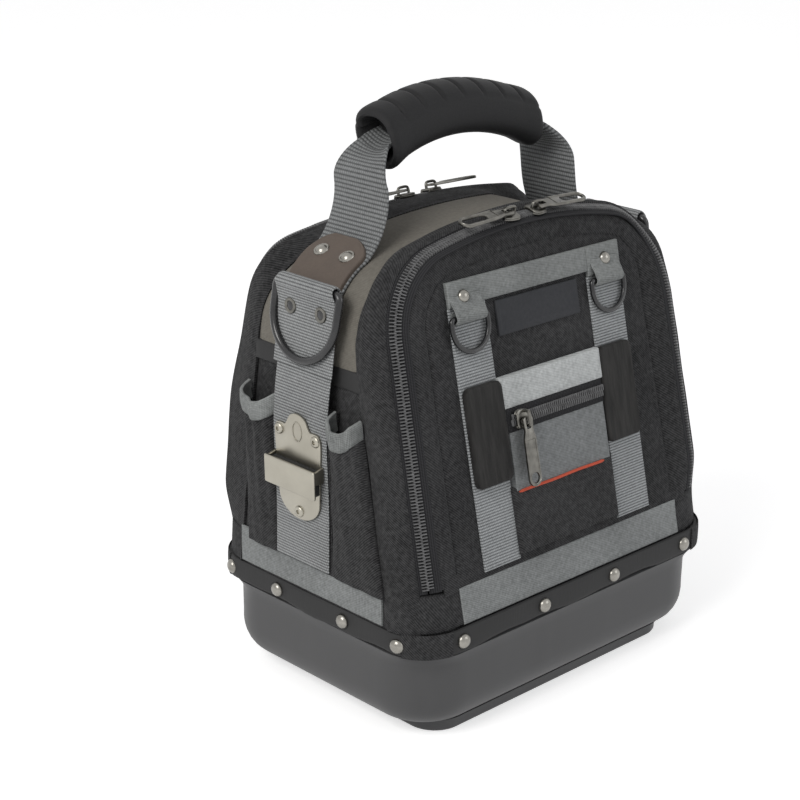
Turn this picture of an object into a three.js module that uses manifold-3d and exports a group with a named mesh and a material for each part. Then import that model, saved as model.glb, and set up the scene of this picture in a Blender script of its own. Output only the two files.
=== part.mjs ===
// A compact zippered tool bag: a moulded tub, a fabric body with a zipped door on each side,
// tool pockets on a centre panel, side pockets, D-rings, a tape clip and a webbing handle.
// Millimetres, +Z up, X along the front, the front face towards -Y.
// The origin is the middle of the foot's underside.
import * as THREE from 'three';
import { mergeVertices } from 'three/addons/utils/BufferGeometryUtils.js';
import Module from 'manifold-3d';

const wasm = await Module();
wasm.setup();

// Overall
const bagWidth = 250;
const bagDepth = 176.5;
const cornerRadius = 28;
const gap = 0.3;

// Moulded tub
const footWidth = 201;
const footDepth = 148;
const footHeight = 8;
const footCorner = 18;
const tubInset = 1;
const tubHeight = 54.7;
const tubWall = 3.5;
const tubEdgeRadius = 12;
const rimHeight = 11;

// Trim band and its rivets
const trimHeight = 14;
const trimThickness = 2.7;
const rivetHeight = 7.5;
const rivetHeadRadius = 3.6;
const rivetHeadHeight = 2.3;
const rivetShankRadius = 1.5;
const rivetTailRadius = 2.7;
const rivetTailHeight = 1.2;
const rivetTailGap = 0.7;
const outerRivetX = 93.4;
const innerRivetX = 29.5;
const outerRivetY = 68.7;
const innerRivetY = 27.2;

// Fabric body
const foldHeight = 90;
const bodyWall = 4;
const slabStep = 8;
const bodySideInset = 0.7;
const shellTaper = 0.04;
const shellShoulder = 40;
const shellCrown = 356;
const shellTop = 267;
const frontStripDepth = 20;
const backStripDepth = 18;

// Faces: the front leans back flat, the back is steeper and rounds over at the top
const frontFoldSetback = 8.05;
const frontLean = THREE.MathUtils.degToRad(13);
const backFoldSetback = 4.25;
const backLean = THREE.MathUtils.degToRad(4.5);
const backCurveStart = 115;
const backCurveRadius = 110;

// Zip path on each face, measured along the face from the fold line
const zipHalfWidth = 108;
const zipTaper = 0.025;
const zipShoulder = 44;
const zipCrown = 340;
const zipTop = 184.5;
const zipSetback = 4;
const zipSideTilt = THREE.MathUtils.degToRad(33);
const zipTopRise = THREE.MathUtils.degToRad(75);
const zipRowGap = 0.6;
const zipCoilWidth = 2.8;
const zipTapeWidth = 7.2;
const zipTapeThickness = 1.1;
const zipCoilHeight = 2.4;

// Doors
const doorThickness = 6;
const doorBottom = 1.2;
const foldGap = 0.7;
const doorEdge = 2;
const doorClearance = 0.6;

// Zip sliders and pulls
const sliderLength = 11;
const sliderPlate = 1.5;
const sliderFlange = 1.3;
const sliderStart = 11;
const sliderTravel = 34;
const bridgeWidth = 2.2;
const bridgeLength = 8;
const bridgeHeight = 4.4;
const bridgeBar = 1.3;
const pullLength = 38;
const pullWidth = 9.5;
const pullThickness = 1.4;
const pullEyeLength = 6.4;
const pullWindow = 14;

// Webbing on the doors
const webThickness = 1.6;
const strapCentreX = 56;
const strapWidth = 28;
const strapTop = 159.5;
const topBandBottom = 145.5;
const topBandHalfWidth = 70;
const loopWidth = 22.8;
const smallRingWire = 3;
const smallRingWidth = 30;
const smallRingHeight = 22;
const smallRingBar = 140;

// Zipped pocket on the front door
const pocketHalfWidth = 41;
const pocketTop = 102.5;
const pocketZip = 78.5;
const pocketWall = 1.3;
const pocketHollow = 1.5;
const coverOuterX = 67.5;
const coverBottom = 47;
const coverTop = 102;
const pocketSliderStart = -32;
const pocketSliderTravel = 64;
const labelLeft = -35;
const labelRight = 31;
const labelBottom = 124;
const labelTop = 143;
const labelThickness = 1;

// Centre panel and tool pockets
const panelY = 4;
const panelThickness = 5;
const panelClearance = 1.5;
const lowerPocketTop = 118;
const lowerPocketDepth = 36;
const lowerPocketCount = 3;
const upperPocketTop = 176;
const upperPocketSink = 50;
const pocketMouthSpare = 5;
const upperPocketDepth = 19;
const upperPocketCount = 4;
const toolPocketHalfWidth = 100;
const toolPocketWall = 2;

// Side pockets
const sidePocketBottom = 74;
const sidePocketTop = 181;
const sideCellFloor = 40;
const sidePocketHalf = 50;
const sidePocketMouth = 12;
const sidePocketFoot = 2;
const sidePocketLap = 0.8;
const sidePocketWall = 2;

// Side straps, their loops and the large D-rings
const sideStrapY = 2;
const sideStrapWidth = 43;
const sideStrapThickness = 2;
const sideStrapBottom = 88;
const sideLoopWidth = 44;
const sideLoopHeight = 246;
const bigRingWire = 4.5;
const bigRingWidth = 54;
const bigRingHeight = 44;
const ringClearance = 0.4;

// Tape clip
const clipWidth = 41;
const clipTop = 143;
const clipBottom = 125;
const clipReach = 13;
const clipSheet = 1.6;
const clipPlateTop = 170;
const clipPlateBottom = 112;
const clipScrewY = 15;
const clipScrewZ = 161;
const clipTabScrewZ = 116.4;
const clipScrewRadius = 3.4;

// Handle
const handleY = 7;
const handleWebWidth = 45;
const handleWebThickness = 3;
const handlePivotRise = 194;
const handlePivotHeight = foldHeight + handlePivotRise;
const handleLegX = 70;
const handleRootX = 96;
const handleRootZ = 252;
const gripRise = 37;
const gripCentreHeight = handlePivotHeight + gripRise;
const gripArcRadius = 148;
const gripHalfLength = 60;
const gripHalfWidth = 16;
const gripHalfHeight = 15;
const gripRibCount = 8;
const handleLean = 0.24;
const handleLeanRise = 166;
const handleLeanFrom = foldHeight + handleLeanRise;

const colours = {
  tub: 0x505052,
  trim: 0x2c2c2d,
  metal: 0xb8b5aa,
  darkMetal: 0x4a4a4c,
  blackFabric: 0x303032,
  shell: 0x5d5b57,
  webbing: 0x6d7073,
  leather: 0x4f443d,
  grip: 0x1c1c1d,
};

const cloth = (color) => new THREE.MeshStandardMaterial({ color, roughness: 0.95, metalness: 0 });
const plastic = (color) => new THREE.MeshStandardMaterial({ color, roughness: 0.45, metalness: 0 });
const metal = (color) => new THREE.MeshStandardMaterial({ color, roughness: 0.3, metalness: 1 });

const bag = new THREE.Group();

function addPart(name, geometry, material, parent = bag) {
  const mesh = new THREE.Mesh(geometry, material);
  mesh.name = name;
  parent.add(mesh);
  return mesh;
}

// Closed solids

function signedVolume(positions, triangles) {
  const a = new THREE.Vector3();
  const b = new THREE.Vector3();
  const c = new THREE.Vector3();
  let sum = 0;
  for (let i = 0; i < triangles.length; i += 3) {
    a.fromArray(positions, triangles[i] * 3);
    b.fromArray(positions, triangles[i + 1] * 3);
    c.fromArray(positions, triangles[i + 2] * 3);
    sum += a.dot(b.cross(c));
  }
  return sum;
}

// A solid from a row of rings with as many points each. The section gives the caps' triangles.
function loft(rings, section = null) {
  const count = rings[0].length;
  const positions = rings.flat().flatMap((p) => [p.x, p.y, p.z]);
  const triangles = [];
  for (let r = 0; r + 1 < rings.length; r += 1) {
    for (let i = 0; i < count; i += 1) {
      const j = (i + 1) % count;
      const a = r * count + i;
      const b = r * count + j;
      const c = (r + 1) * count + j;
      const d = (r + 1) * count + i;
      triangles.push(a, b, c, a, c, d);
    }
  }
  const outline = section ?? rings[0].map((_, i) => {
    const angle = (i / count) * Math.PI * 2;
    return new THREE.Vector2(Math.cos(angle), Math.sin(angle));
  });
  const turn = Math.sign(THREE.ShapeUtils.area(outline));
  const last = (rings.length - 1) * count;
  for (const [p, q, s] of THREE.ShapeUtils.triangulateShape(outline, [])) {
    const same = THREE.ShapeUtils.area([outline[p], outline[q], outline[s]]) * turn > 0;
    const [m, n] = same ? [q, s] : [s, q];
    triangles.push(p, n, m, last + p, last + m, last + n);
  }
  if (signedVolume(positions, triangles) < 0) {
    for (let i = 0; i < triangles.length; i += 3) {
      [triangles[i + 1], triangles[i + 2]] = [triangles[i + 2], triangles[i + 1]];
    }
  }
  const geometry = new THREE.BufferGeometry();
  geometry.setAttribute('position', new THREE.Float32BufferAttribute(positions, 3));
  geometry.setIndex(triangles);
  return geometry;
}

function toSolid(geometry) {
  const bare = geometry.clone();
  bare.deleteAttribute('normal');
  bare.deleteAttribute('uv');
  const merged = mergeVertices(bare, 1e-4);
  return new wasm.Manifold(new wasm.Mesh({
    numProp: 3,
    vertProperties: new Float32Array(merged.attributes.position.array),
    triVerts: new Uint32Array(merged.index.array),
  }));
}

function toGeometry(solid) {
  const mesh = solid.getMesh();
  const geometry = new THREE.BufferGeometry();
  geometry.setAttribute('position', new THREE.BufferAttribute(new Float32Array(mesh.vertProperties), 3));
  geometry.setIndex([...mesh.triVerts]);
  return geometry;
}

const join = (...geometries) => toGeometry(geometries.map(toSolid).reduce((a, b) => a.add(b)));
const cut = (geometry, ...tools) => toGeometry(
  tools.map(toSolid).reduce((a, b) => a.subtract(b), toSolid(geometry)),
);

function box(x0, x1, y0, y1, z0, z1) {
  const geometry = new THREE.BoxGeometry(x1 - x0, y1 - y0, z1 - z0);
  return geometry.translate((x0 + x1) / 2, (y0 + y1) / 2, (z0 + z1) / 2);
}

// A rounded rectangle as a ring of points at one height, y0 and y1 being its front and back edges.
function roundedRing(halfX, y0, y1, radius, z, steps = 5) {
  const corners = [
    [halfX - radius, y1 - radius, 0],
    [-halfX + radius, y1 - radius, 1],
    [-halfX + radius, y0 + radius, 2],
    [halfX - radius, y0 + radius, 3],
  ];
  const points = [];
  for (const [cx, cy, quarter] of corners) {
    for (let i = 0; i <= steps; i += 1) {
      const angle = (quarter + i / steps) * (Math.PI / 2);
      points.push(new THREE.Vector3(cx + radius * Math.cos(angle), cy + radius * Math.sin(angle), z));
    }
  }
  return points;
}

// A face of the bag: (x, up along the face, out of the face) to the bag's own place
class Face {
  constructor(side, foldY, lean, curveStart, curveRadius) {
    Object.assign(this, { side, foldY, lean, curveStart, curveRadius });
  }

  angle(v) {
    return this.lean + Math.max(0, v - this.curveStart) / this.curveRadius;
  }

  at(x, v, w = 0) {
    const straight = Math.min(v, this.curveStart);
    const turned = this.angle(v);
    const inward = straight * Math.sin(this.lean)
      + this.curveRadius * (Math.cos(this.lean) - Math.cos(turned)) - w * Math.cos(turned);
    const height = foldHeight + straight * Math.cos(this.lean)
      + this.curveRadius * (Math.sin(turned) - Math.sin(this.lean)) + w * Math.sin(turned);
    return new THREE.Vector3(x, this.side * (this.foldY - inward), height);
  }

  // How far the face has come inward from the fold line at a height
  inwardAt(z) {
    const straightTop = foldHeight + this.curveStart * Math.cos(this.lean);
    if (z <= straightTop) return (z - foldHeight) * Math.tan(this.lean);
    const turned = Math.asin(Math.sin(this.lean) + (z - straightTop) / this.curveRadius);
    return this.curveStart * Math.sin(this.lean)
      + this.curveRadius * (Math.cos(this.lean) - Math.cos(turned));
  }

  yAt(z, depth) {
    return this.side * (this.foldY - this.inwardAt(z) - depth);
  }

  // Directions at a point of the face: across, up along it, and out of it
  upAt(v) {
    const turned = this.angle(v);
    return new THREE.Vector3(0, -this.side * Math.sin(turned), Math.cos(turned));
  }

  outAt(v) {
    const turned = this.angle(v);
    return new THREE.Vector3(0, this.side * Math.cos(turned), Math.sin(turned));
  }
}

const front = new Face(-1, bagDepth / 2 - frontFoldSetback, frontLean, 1e3, 1e3);
const back = new Face(1, bagDepth / 2 - backFoldSetback, backLean, backCurveStart, backCurveRadius);

// An arch: straight tapering sides, a round shoulder and a shallow crown, drawn in by an offset.
// It gives the points of the right half from the bottom to the middle, each with its inward normal.
function archHalf({ half, taper, shoulder, crown, top }, offset, bottom, steps = [6, 4]) {
  const slant = Math.hypot(1, taper);
  const crownV = top - crown;
  const a = half - shoulder / slant;
  const b = taper * shoulder / slant + crownV;
  const c = crown - shoulder;
  const mid = a * taper + b;
  const lineTop = (mid + Math.sqrt(mid * mid - slant * slant * (a * a + b * b - c * c))) / (slant * slant);
  const centreX = half - taper * lineTop - shoulder / slant;
  const centreV = lineTop - taper * shoulder / slant;
  const lineAngle = Math.atan(taper);
  const crownAngle = Math.PI / 2 - Math.atan2(centreX, centreV - crownV);
  const lineEnd = centreV + (shoulder - offset) * Math.sin(lineAngle);
  const points = [];
  const add = (x, v, angle) => points.push({ x, v, nx: -Math.cos(angle), nv: -Math.sin(angle) });
  for (const v of [bottom, backCurveStart / 2, backCurveStart, (backCurveStart + lineEnd) / 2]) {
    add(half - taper * v - offset * slant, v, lineAngle);
  }
  for (let i = 0; i < steps[0]; i += 1) {
    const angle = lineAngle + (crownAngle - lineAngle) * (i / steps[0]);
    add(centreX + (shoulder - offset) * Math.cos(angle), centreV + (shoulder - offset) * Math.sin(angle), angle);
  }
  for (let i = 0; i <= steps[1]; i += 1) {
    const angle = crownAngle + (Math.PI / 2 - crownAngle) * (i / steps[1]);
    add((crown - offset) * Math.cos(angle), crownV + (crown - offset) * Math.sin(angle), angle);
  }
  return points;
}

function wholeArch(shape, offset, bottom) {
  const half = archHalf(shape, offset, bottom);
  const mirrored = half.slice(0, -1).reverse().map((p) => ({ ...p, x: -p.x, nx: -p.nx }));
  return [...half, ...mirrored];
}

const zipArch = { half: zipHalfWidth, taper: zipTaper, shoulder: zipShoulder, crown: zipCrown, top: zipTop };
const shellHalf = bagWidth / 2 - bodySideInset;
const shellArch = {
  half: shellHalf,
  taper: shellTaper,
  shoulder: shellShoulder,
  crown: shellCrown,
  top: shellTop - foldHeight,
};

// The zip's cross direction turns from the side's tilt to lie nearly flat on the top
function zipTiltAt(face, point) {
  const topTilt = zipTopRise - face.angle(point.v);
  return zipSideTilt + (topTilt - zipSideTilt) * point.nv * point.nv;
}

// A point beside the zip line: across it towards the door, and out of the tape
function besideZip(face, point, across, out = 0) {
  const tilt = zipTiltAt(face, point);
  const inPlane = across * Math.cos(tilt) - out * Math.sin(tilt);
  const rise = across * Math.sin(tilt) + out * Math.cos(tilt);
  return face.at(point.x + point.nx * inPlane, point.v + point.nv * inPlane, rise - zipSetback);
}

function alongZip(face, section, bottom) {
  const path = wholeArch(zipArch, 0, bottom);
  const rings = path.map((point) => section.map(([across, out]) => besideZip(face, point, across, out)));
  return loft(rings, section.map(([across, out]) => new THREE.Vector2(across, out)));
}

// Moulded tub

const tubHalfX = bagWidth / 2 - tubInset;
const tubHalfY = bagDepth / 2 - tubInset;
const rimHalfX = bagWidth / 2 - trimThickness - gap;
const rimHalfY = bagDepth / 2 - trimThickness - gap;

function makeTub() {
  const ring = (inset, z, halfX = tubHalfX, halfY = tubHalfY, radius = cornerRadius - tubInset) => (
    roundedRing(halfX - inset, -halfY + inset, halfY - inset, Math.max(radius - inset, 4), z)
  );
  const foot = (inset, z) => (
    roundedRing(footWidth / 2 - inset, -footDepth / 2 + inset, footDepth / 2 - inset, footCorner - inset, z)
  );
  const rings = [foot(0, 0), foot(0, footHeight)];
  const edgeSteps = 4;
  for (let i = 0; i <= edgeSteps; i += 1) {
    const angle = (i / edgeSteps) * (Math.PI / 2);
    const inset = tubEdgeRadius * (1 - Math.sin(angle));
    rings.push(ring(inset, footHeight + tubEdgeRadius * (1 - Math.cos(angle))));
  }
  rings.push(ring(0, tubHeight));
  const rim = (inset, z) => ring(inset, z, rimHalfX, rimHalfY, cornerRadius - trimThickness - gap);
  rings.push(rim(0, tubHeight), rim(0, tubHeight + rimHeight));
  rings.push(rim(tubWall, tubHeight + rimHeight), rim(tubWall, footHeight + tubEdgeRadius));
  rings.push(rim(tubWall + tubEdgeRadius / 2, footHeight + tubWall));
  rings.push(foot(tubWall, footHeight + tubWall), foot(tubWall, tubWall));
  return loft(rings);
}

function makeTrim() {
  const z0 = tubHeight + gap;
  const z1 = z0 + trimHeight;
  const outer = (z) => roundedRing(bagWidth / 2, -bagDepth / 2, bagDepth / 2, cornerRadius, z);
  const inner = (z) => roundedRing(
    bagWidth / 2 - trimThickness,
    -bagDepth / 2 + trimThickness,
    bagDepth / 2 - trimThickness,
    cornerRadius - trimThickness,
    z,
  );
  return cut(loft([outer(z0), outer(z1)]), loft([inner(z0 - 1), inner(z1 + 1)]));
}

// Where the trim's rivets sit: a point on the trim's outer face and the way out
function rivetPlaces() {
  const z = tubHeight + rivetHeight;
  const places = [];
  for (const side of [-1, 1]) {
    for (const x of [-outerRivetX, -innerRivetX, innerRivetX, outerRivetX]) {
      places.push({ at: new THREE.Vector3(x, side * bagDepth / 2, z), out: new THREE.Vector3(0, side, 0) });
    }
    for (const y of [-outerRivetY, -innerRivetY, innerRivetY, outerRivetY]) {
      const past = Math.max(0, Math.abs(y) - (bagDepth / 2 - cornerRadius));
      const turn = Math.asin(past / cornerRadius);
      const out = new THREE.Vector3(side * Math.cos(turn), Math.sign(y) * Math.sin(turn), 0);
      const x = side * (bagWidth / 2 - cornerRadius * (1 - Math.cos(turn)));
      places.push({ at: new THREE.Vector3(x, y, z), out });
    }
  }
  return places;
}

function placeAlong(geometry, { at, out }) {
  const turn = new THREE.Quaternion().setFromUnitVectors(new THREE.Vector3(0, 1, 0), out);
  return geometry.clone().applyQuaternion(turn).translate(at.x, at.y, at.z);
}

function makeRivet() {
  const grip = trimThickness + gap + tubWall;
  const v = (r, y) => new THREE.Vector2(r, y);
  const tail = -grip - rivetTailGap;
  const profile = [
    v(0, tail - rivetTailHeight),
    v(rivetTailRadius, tail - rivetTailHeight),
    v(rivetTailRadius, tail),
    v(rivetShankRadius, tail),
    v(rivetShankRadius, gap),
    v(rivetHeadRadius, gap),
    v(rivetHeadRadius * 0.8, gap + rivetHeadHeight * 0.62),
    v(0, gap + rivetHeadHeight),
  ];
  return new THREE.LatheGeometry(profile, 8);
}

function makeRivetHole() {
  const depth = trimThickness + tubWall + 6;
  return new THREE.CylinderGeometry(rivetShankRadius + gap, rivetShankRadius + gap, depth, 8)
    .translate(0, 2 - depth / 2, 0);
}

// Fabric body: a low wall over the rim and an arched gusset between the two zips

function makeBody() {
  const wallRing = (halfX, frontDepth, backDepth, inset, z) => roundedRing(
    halfX - inset,
    front.yAt(z, frontDepth + inset),
    back.yAt(z, backDepth + inset),
    cornerRadius - 2 - inset,
    z,
  );
  const tucked = tubHeight + rimHeight + gap;
  const proud = tubHeight + gap + trimHeight + gap;
  const tuckedHalf = rimHalfX;
  const tuckDepth = trimThickness;
  const rings = (inset, low, high) => [
    wallRing(tuckedHalf, tuckDepth, tuckDepth, inset, low),
    wallRing(tuckedHalf, tuckDepth, tuckDepth, inset, proud),
    wallRing(shellHalf, 0, 0, inset, proud),
    wallRing(shellHalf, 0, 0, inset, high),
  ];
  const wall = cut(
    loft(rings(0, tucked, foldHeight - foldGap)),
    loft([
      wallRing(tuckedHalf, tuckDepth, tuckDepth, bodyWall, tucked - 1),
      wallRing(tuckedHalf, tuckDepth, tuckDepth, bodyWall, foldHeight + 2),
    ]),
  );
  const bottom = doorBottom - 6;
  const zipLine = wholeArch(zipArch, 0, bottom);
  const shellLine = wholeArch(shellArch, 0, bottom);
  const innerLine = wholeArch(shellArch, bodyWall, bottom);
  const seam = -zipTapeWidth - gap;
  const stations = zipLine.map((point, i) => {
    const outer = shellLine[i];
    const inner = innerLine[i];
    const outerZ = foldHeight + outer.v;
    const innerZ = foldHeight + inner.v;
    return [
      besideZip(front, point, seam),
      new THREE.Vector3(outer.x, front.yAt(outerZ, frontStripDepth), outerZ),
      new THREE.Vector3(outer.x, back.yAt(outerZ, backStripDepth), outerZ),
      besideZip(back, point, seam),
      besideZip(back, point, seam, -bodyWall),
      new THREE.Vector3(inner.x, back.yAt(outerZ, backStripDepth + 1), innerZ),
      new THREE.Vector3(inner.x, front.yAt(outerZ, frontStripDepth + 1), innerZ),
      besideZip(front, point, seam, -bodyWall),
    ];
  });
  const section = [[0, 0], [1, 1], [9, 1], [10, 0], [9.5, -1], [8.8, 0.4], [1.2, 0.4], [0.5, -1]];
  return join(wall, loft(stations, section.map(([x, y]) => new THREE.Vector2(x, y))));
}

// Doors

function doorRings(face, w0, w1, edge) {
  const half = archHalf(zipArch, 0, doorBottom).map((point) => {
    const inset = zipTapeWidth * Math.cos(zipTiltAt(face, point)) + doorClearance;
    return { x: point.x + point.nx * inset, v: point.v + point.nv * inset };
  });
  const rungs = half.slice(0, -1);
  const topV = half[half.length - 1].v;
  rungs.push({ x: rungs[rungs.length - 1].x * 0.35, v: topV - 0.4 });
  return rungs.map(({ x, v }) => [
    face.at(-x + edge, v, w1),
    face.at(x - edge, v, w1),
    face.at(x, v, w1 - edge),
    face.at(x, v, w0),
    face.at(-x, v, w0),
    face.at(-x, v, w1 - edge),
  ]);
}

function makeDoor(face) {
  const section = [[-9, 3], [9, 3], [10, 1], [10, -3], [-10, -3], [-10, 1]];
  const rings = doorRings(face, -doorThickness, 0, doorEdge);
  return loft(rings, section.map(([x, y]) => new THREE.Vector2(x, y)));
}

// Half a zip: a tape with its coil beside the parting line
function zipRow(face, side) {
  const section = [
    [zipRowGap, 0],
    [zipTapeWidth, 0],
    [zipTapeWidth, zipTapeThickness],
    [zipRowGap + zipCoilWidth, zipTapeThickness],
    [zipRowGap + zipCoilWidth, zipCoilHeight],
    [zipRowGap, zipCoilHeight],
  ];
  const placed = section.map(([across, out]) => [side * across, out - zipCoilHeight / 2]);
  return alongZip(face, placed, doorBottom + gap);
}

// A flat piece on a face, following its curve
function slab(face, x0, x1, v0, v1, w0, w1) {
  const stations = [v0];
  const curved = Math.max(v0, face.curveStart);
  const count = Math.ceil((v1 - curved) / slabStep);
  for (let i = curved > v0 ? 0 : 1; i < count; i += 1) stations.push(curved + (v1 - curved) * (i / count));
  stations.push(v1);
  return loft(stations.map((v) => (
    [face.at(x0, v, w0), face.at(x1, v, w0), face.at(x1, v, w1), face.at(x0, v, w1)]
  )));
}

// A rod along X on a face, for the hole in a webbing loop
function rodOnFace(face, x0, x1, v, w, radius) {
  const centre = face.at((x0 + x1) / 2, v, w);
  return new THREE.CylinderGeometry(radius, radius, x1 - x0, 8)
    .rotateZ(Math.PI / 2)
    .translate(centre.x, centre.y, centre.z);
}

const smallLoopOut = gap + webThickness + smallRingWire / 2 + ringClearance;
const smallLoopRadius = smallRingWire / 2 + ringClearance + webThickness;

function makeWebbing(face) {
  const base = gap;
  const top = base + webThickness;
  const pieces = [slab(face, -topBandHalfWidth, topBandHalfWidth, topBandBottom, strapTop, base, top + 0.8)];
  for (const side of [-1, 1]) {
    const x = side * strapCentreX;
    pieces.push(slab(face, x - strapWidth / 2, x + strapWidth / 2, doorBottom, topBandBottom + 4, base, top));
    pieces.push(rodOnFace(face, x - loopWidth / 2, x + loopWidth / 2, smallRingBar, smallLoopOut, smallLoopRadius));
  }
  const holes = [-1, 1].map((side) => rodOnFace(
    face,
    side * strapCentreX - strapWidth,
    side * strapCentreX + strapWidth,
    smallRingBar,
    smallLoopOut,
    smallRingWire / 2 + ringClearance,
  ));
  return cut(join(...pieces), ...holes);
}

// A D-ring: a straight bar along X at the origin and a bow hanging down to -height
function ringGeometry(width, height, wire, steps = 14, sides = 6) {
  const radius = (width - wire) / 2;
  const drop = height - wire - radius;
  const corner = wire * 0.4;
  const p = (x, z) => new THREE.Vector3(x, 0, z);
  const bowPoints = [];
  for (let i = 0; i <= steps; i += 1) {
    const angle = (i / steps) * Math.PI;
    bowPoints.push(p(radius * Math.cos(angle), -drop - radius * Math.sin(angle)));
  }
  const loop = [p(-radius + corner, 0), p(radius - corner, 0), p(radius, -corner), ...bowPoints, p(-radius, -corner)];
  const centre = p(0, -height / 2);
  const rings = loop.map((point, i) => {
    const before = loop[(i + loop.length - 1) % loop.length];
    const after = loop[(i + 1) % loop.length];
    const along = after.clone().sub(before).normalize();
    const side = new THREE.Vector3(0, 1, 0);
    const up = side.clone().cross(along).normalize();
    if (up.dot(point.clone().sub(centre)) < 0) up.negate();
    return Array.from({ length: sides }, (_, k) => {
      const turn = ((k + 0.5) / sides) * Math.PI * 2;
      return point.clone()
        .addScaledVector(up, Math.cos(turn) * wire / 2)
        .addScaledVector(side, Math.sin(turn) * wire / 2);
    });
  });
  return closedLoop(rings);
}

// A ring-shaped solid from sections whose last joins the first
function closedLoop(rings) {
  const count = rings[0].length;
  const positions = rings.flat().flatMap((p) => [p.x, p.y, p.z]);
  const triangles = [];
  for (let r = 0; r < rings.length; r += 1) {
    const next = (r + 1) % rings.length;
    for (let i = 0; i < count; i += 1) {
      const j = (i + 1) % count;
      triangles.push(r * count + i, r * count + j, next * count + j);
      triangles.push(r * count + i, next * count + j, next * count + i);
    }
  }
  if (signedVolume(positions, triangles) < 0) triangles.reverse();
  const geometry = new THREE.BufferGeometry();
  geometry.setAttribute('position', new THREE.Float32BufferAttribute(positions, 3));
  geometry.setIndex(triangles);
  return geometry;
}

// Zip slider: a cap that rides over both coils, with a bridge for its pull. Along the zip is X,
// towards the door is Y, out of the tape is Z, and the origin is on the zip's centre line.

const tapeTop = zipTapeThickness - zipCoilHeight / 2;
const coilTop = zipCoilHeight / 2;
const plateLow = coilTop + ringClearance;
const plateTop = plateLow + sliderPlate;
const flangeInner = zipRowGap + zipCoilWidth + ringClearance;
const flangeOuter = flangeInner + sliderFlange;
const bridgeUnder = plateTop + bridgeHeight - bridgeBar;
const pullHeight = plateTop + gap + pullThickness;

function makeSlider(bridgeTurn = 0) {
  const half = sliderLength / 2;
  const post = bridgeLength / 2;
  const flange = (y0, y1) => box(-half, half, y0, y1, tapeTop + ringClearance, plateTop);
  const bridge = join(
    box(-post, post, -bridgeWidth / 2, bridgeWidth / 2, bridgeUnder, plateTop + bridgeHeight),
    box(-post, -post + bridgeBar, -bridgeWidth / 2, bridgeWidth / 2, plateLow, bridgeUnder + 0.1),
    box(post - bridgeBar, post, -bridgeWidth / 2, bridgeWidth / 2, plateLow, bridgeUnder + 0.1),
  );
  return join(
    box(-half, half, -flangeOuter, flangeOuter, plateLow, plateTop),
    flange(-flangeOuter, -flangeInner),
    flange(flangeInner, flangeOuter),
    bridge.rotateZ(bridgeTurn),
  );
}

// A pull lying along +X from its eye's bar, which is at the origin
function makePull(length = pullLength) {
  const bar = pullThickness / 2;
  const shape = new THREE.Shape();
  const half = pullWidth / 2;
  const neck = half * 0.62;
  shape.moveTo(-bar, -neck);
  shape.lineTo(pullEyeLength, -neck);
  shape.lineTo(pullEyeLength + 4, -half);
  shape.lineTo(length - half, -half);
  shape.absarc(length - half, 0, half, -Math.PI / 2, Math.PI / 2, false);
  shape.lineTo(pullEyeLength + 4, half);
  shape.lineTo(pullEyeLength, neck);
  shape.lineTo(-bar, neck);
  const eye = new THREE.Path();
  const eyeHalf = bridgeWidth / 2 + ringClearance;
  eye.moveTo(bar, -eyeHalf);
  eye.lineTo(bar, eyeHalf);
  eye.lineTo(pullEyeLength - 0.6, eyeHalf);
  eye.lineTo(pullEyeLength - 0.6, -eyeHalf);
  const window = new THREE.Path();
  const start = length - half - pullWindow;
  const windowHalf = half - 1.9;
  window.moveTo(start, -windowHalf);
  window.lineTo(start, windowHalf);
  window.lineTo(length - half, windowHalf);
  window.absarc(length - half, 0, windowHalf, Math.PI / 2, -Math.PI / 2, true);
  shape.holes.push(eye, window);
  return new THREE.ExtrudeGeometry(shape, { depth: pullThickness, bevelEnabled: false, curveSegments: 4 })
    .translate(0, 0, -pullThickness / 2);
}

// The zip's frame at a point of its path: origin, along, towards the door, out of the tape
function zipFrame(face, point, outward) {
  const tilt = zipTiltAt(face, point);
  const up = face.upAt(point.v);
  const out = face.outAt(point.v);
  const inward = new THREE.Vector3(point.nx, 0, 0).addScaledVector(up, point.nv);
  const across = inward.clone().multiplyScalar(Math.cos(tilt)).addScaledVector(out, Math.sin(tilt));
  const normal = out.clone().multiplyScalar(Math.cos(tilt)).addScaledVector(inward, -Math.sin(tilt));
  const along = across.clone().cross(normal);
  if (along.x * outward < 0) {
    along.negate();
    across.negate();
  }
  return { origin: besideZip(face, point, 0), along, across, normal };
}

function placeInFrame(mesh, frame, height = 0) {
  const basis = new THREE.Matrix4().makeBasis(frame.along, frame.across, frame.normal);
  mesh.quaternion.setFromRotationMatrix(basis);
  mesh.position.copy(frame.origin).addScaledVector(frame.normal, height);
}

// The point of the zip's crown at a distance from the middle, and its inward normal
function crownPoint(distance) {
  const angle = distance / zipCrown;
  return {
    x: zipCrown * Math.sin(angle),
    v: zipTop - zipCrown + zipCrown * Math.cos(angle),
    nx: -Math.sin(angle),
    nv: -Math.cos(angle),
  };
}

// Zipped pocket: a thin pouch between the straps with wings sewn over them

const pocketOut = gap + pocketWall * 2 + pocketHollow;

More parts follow.
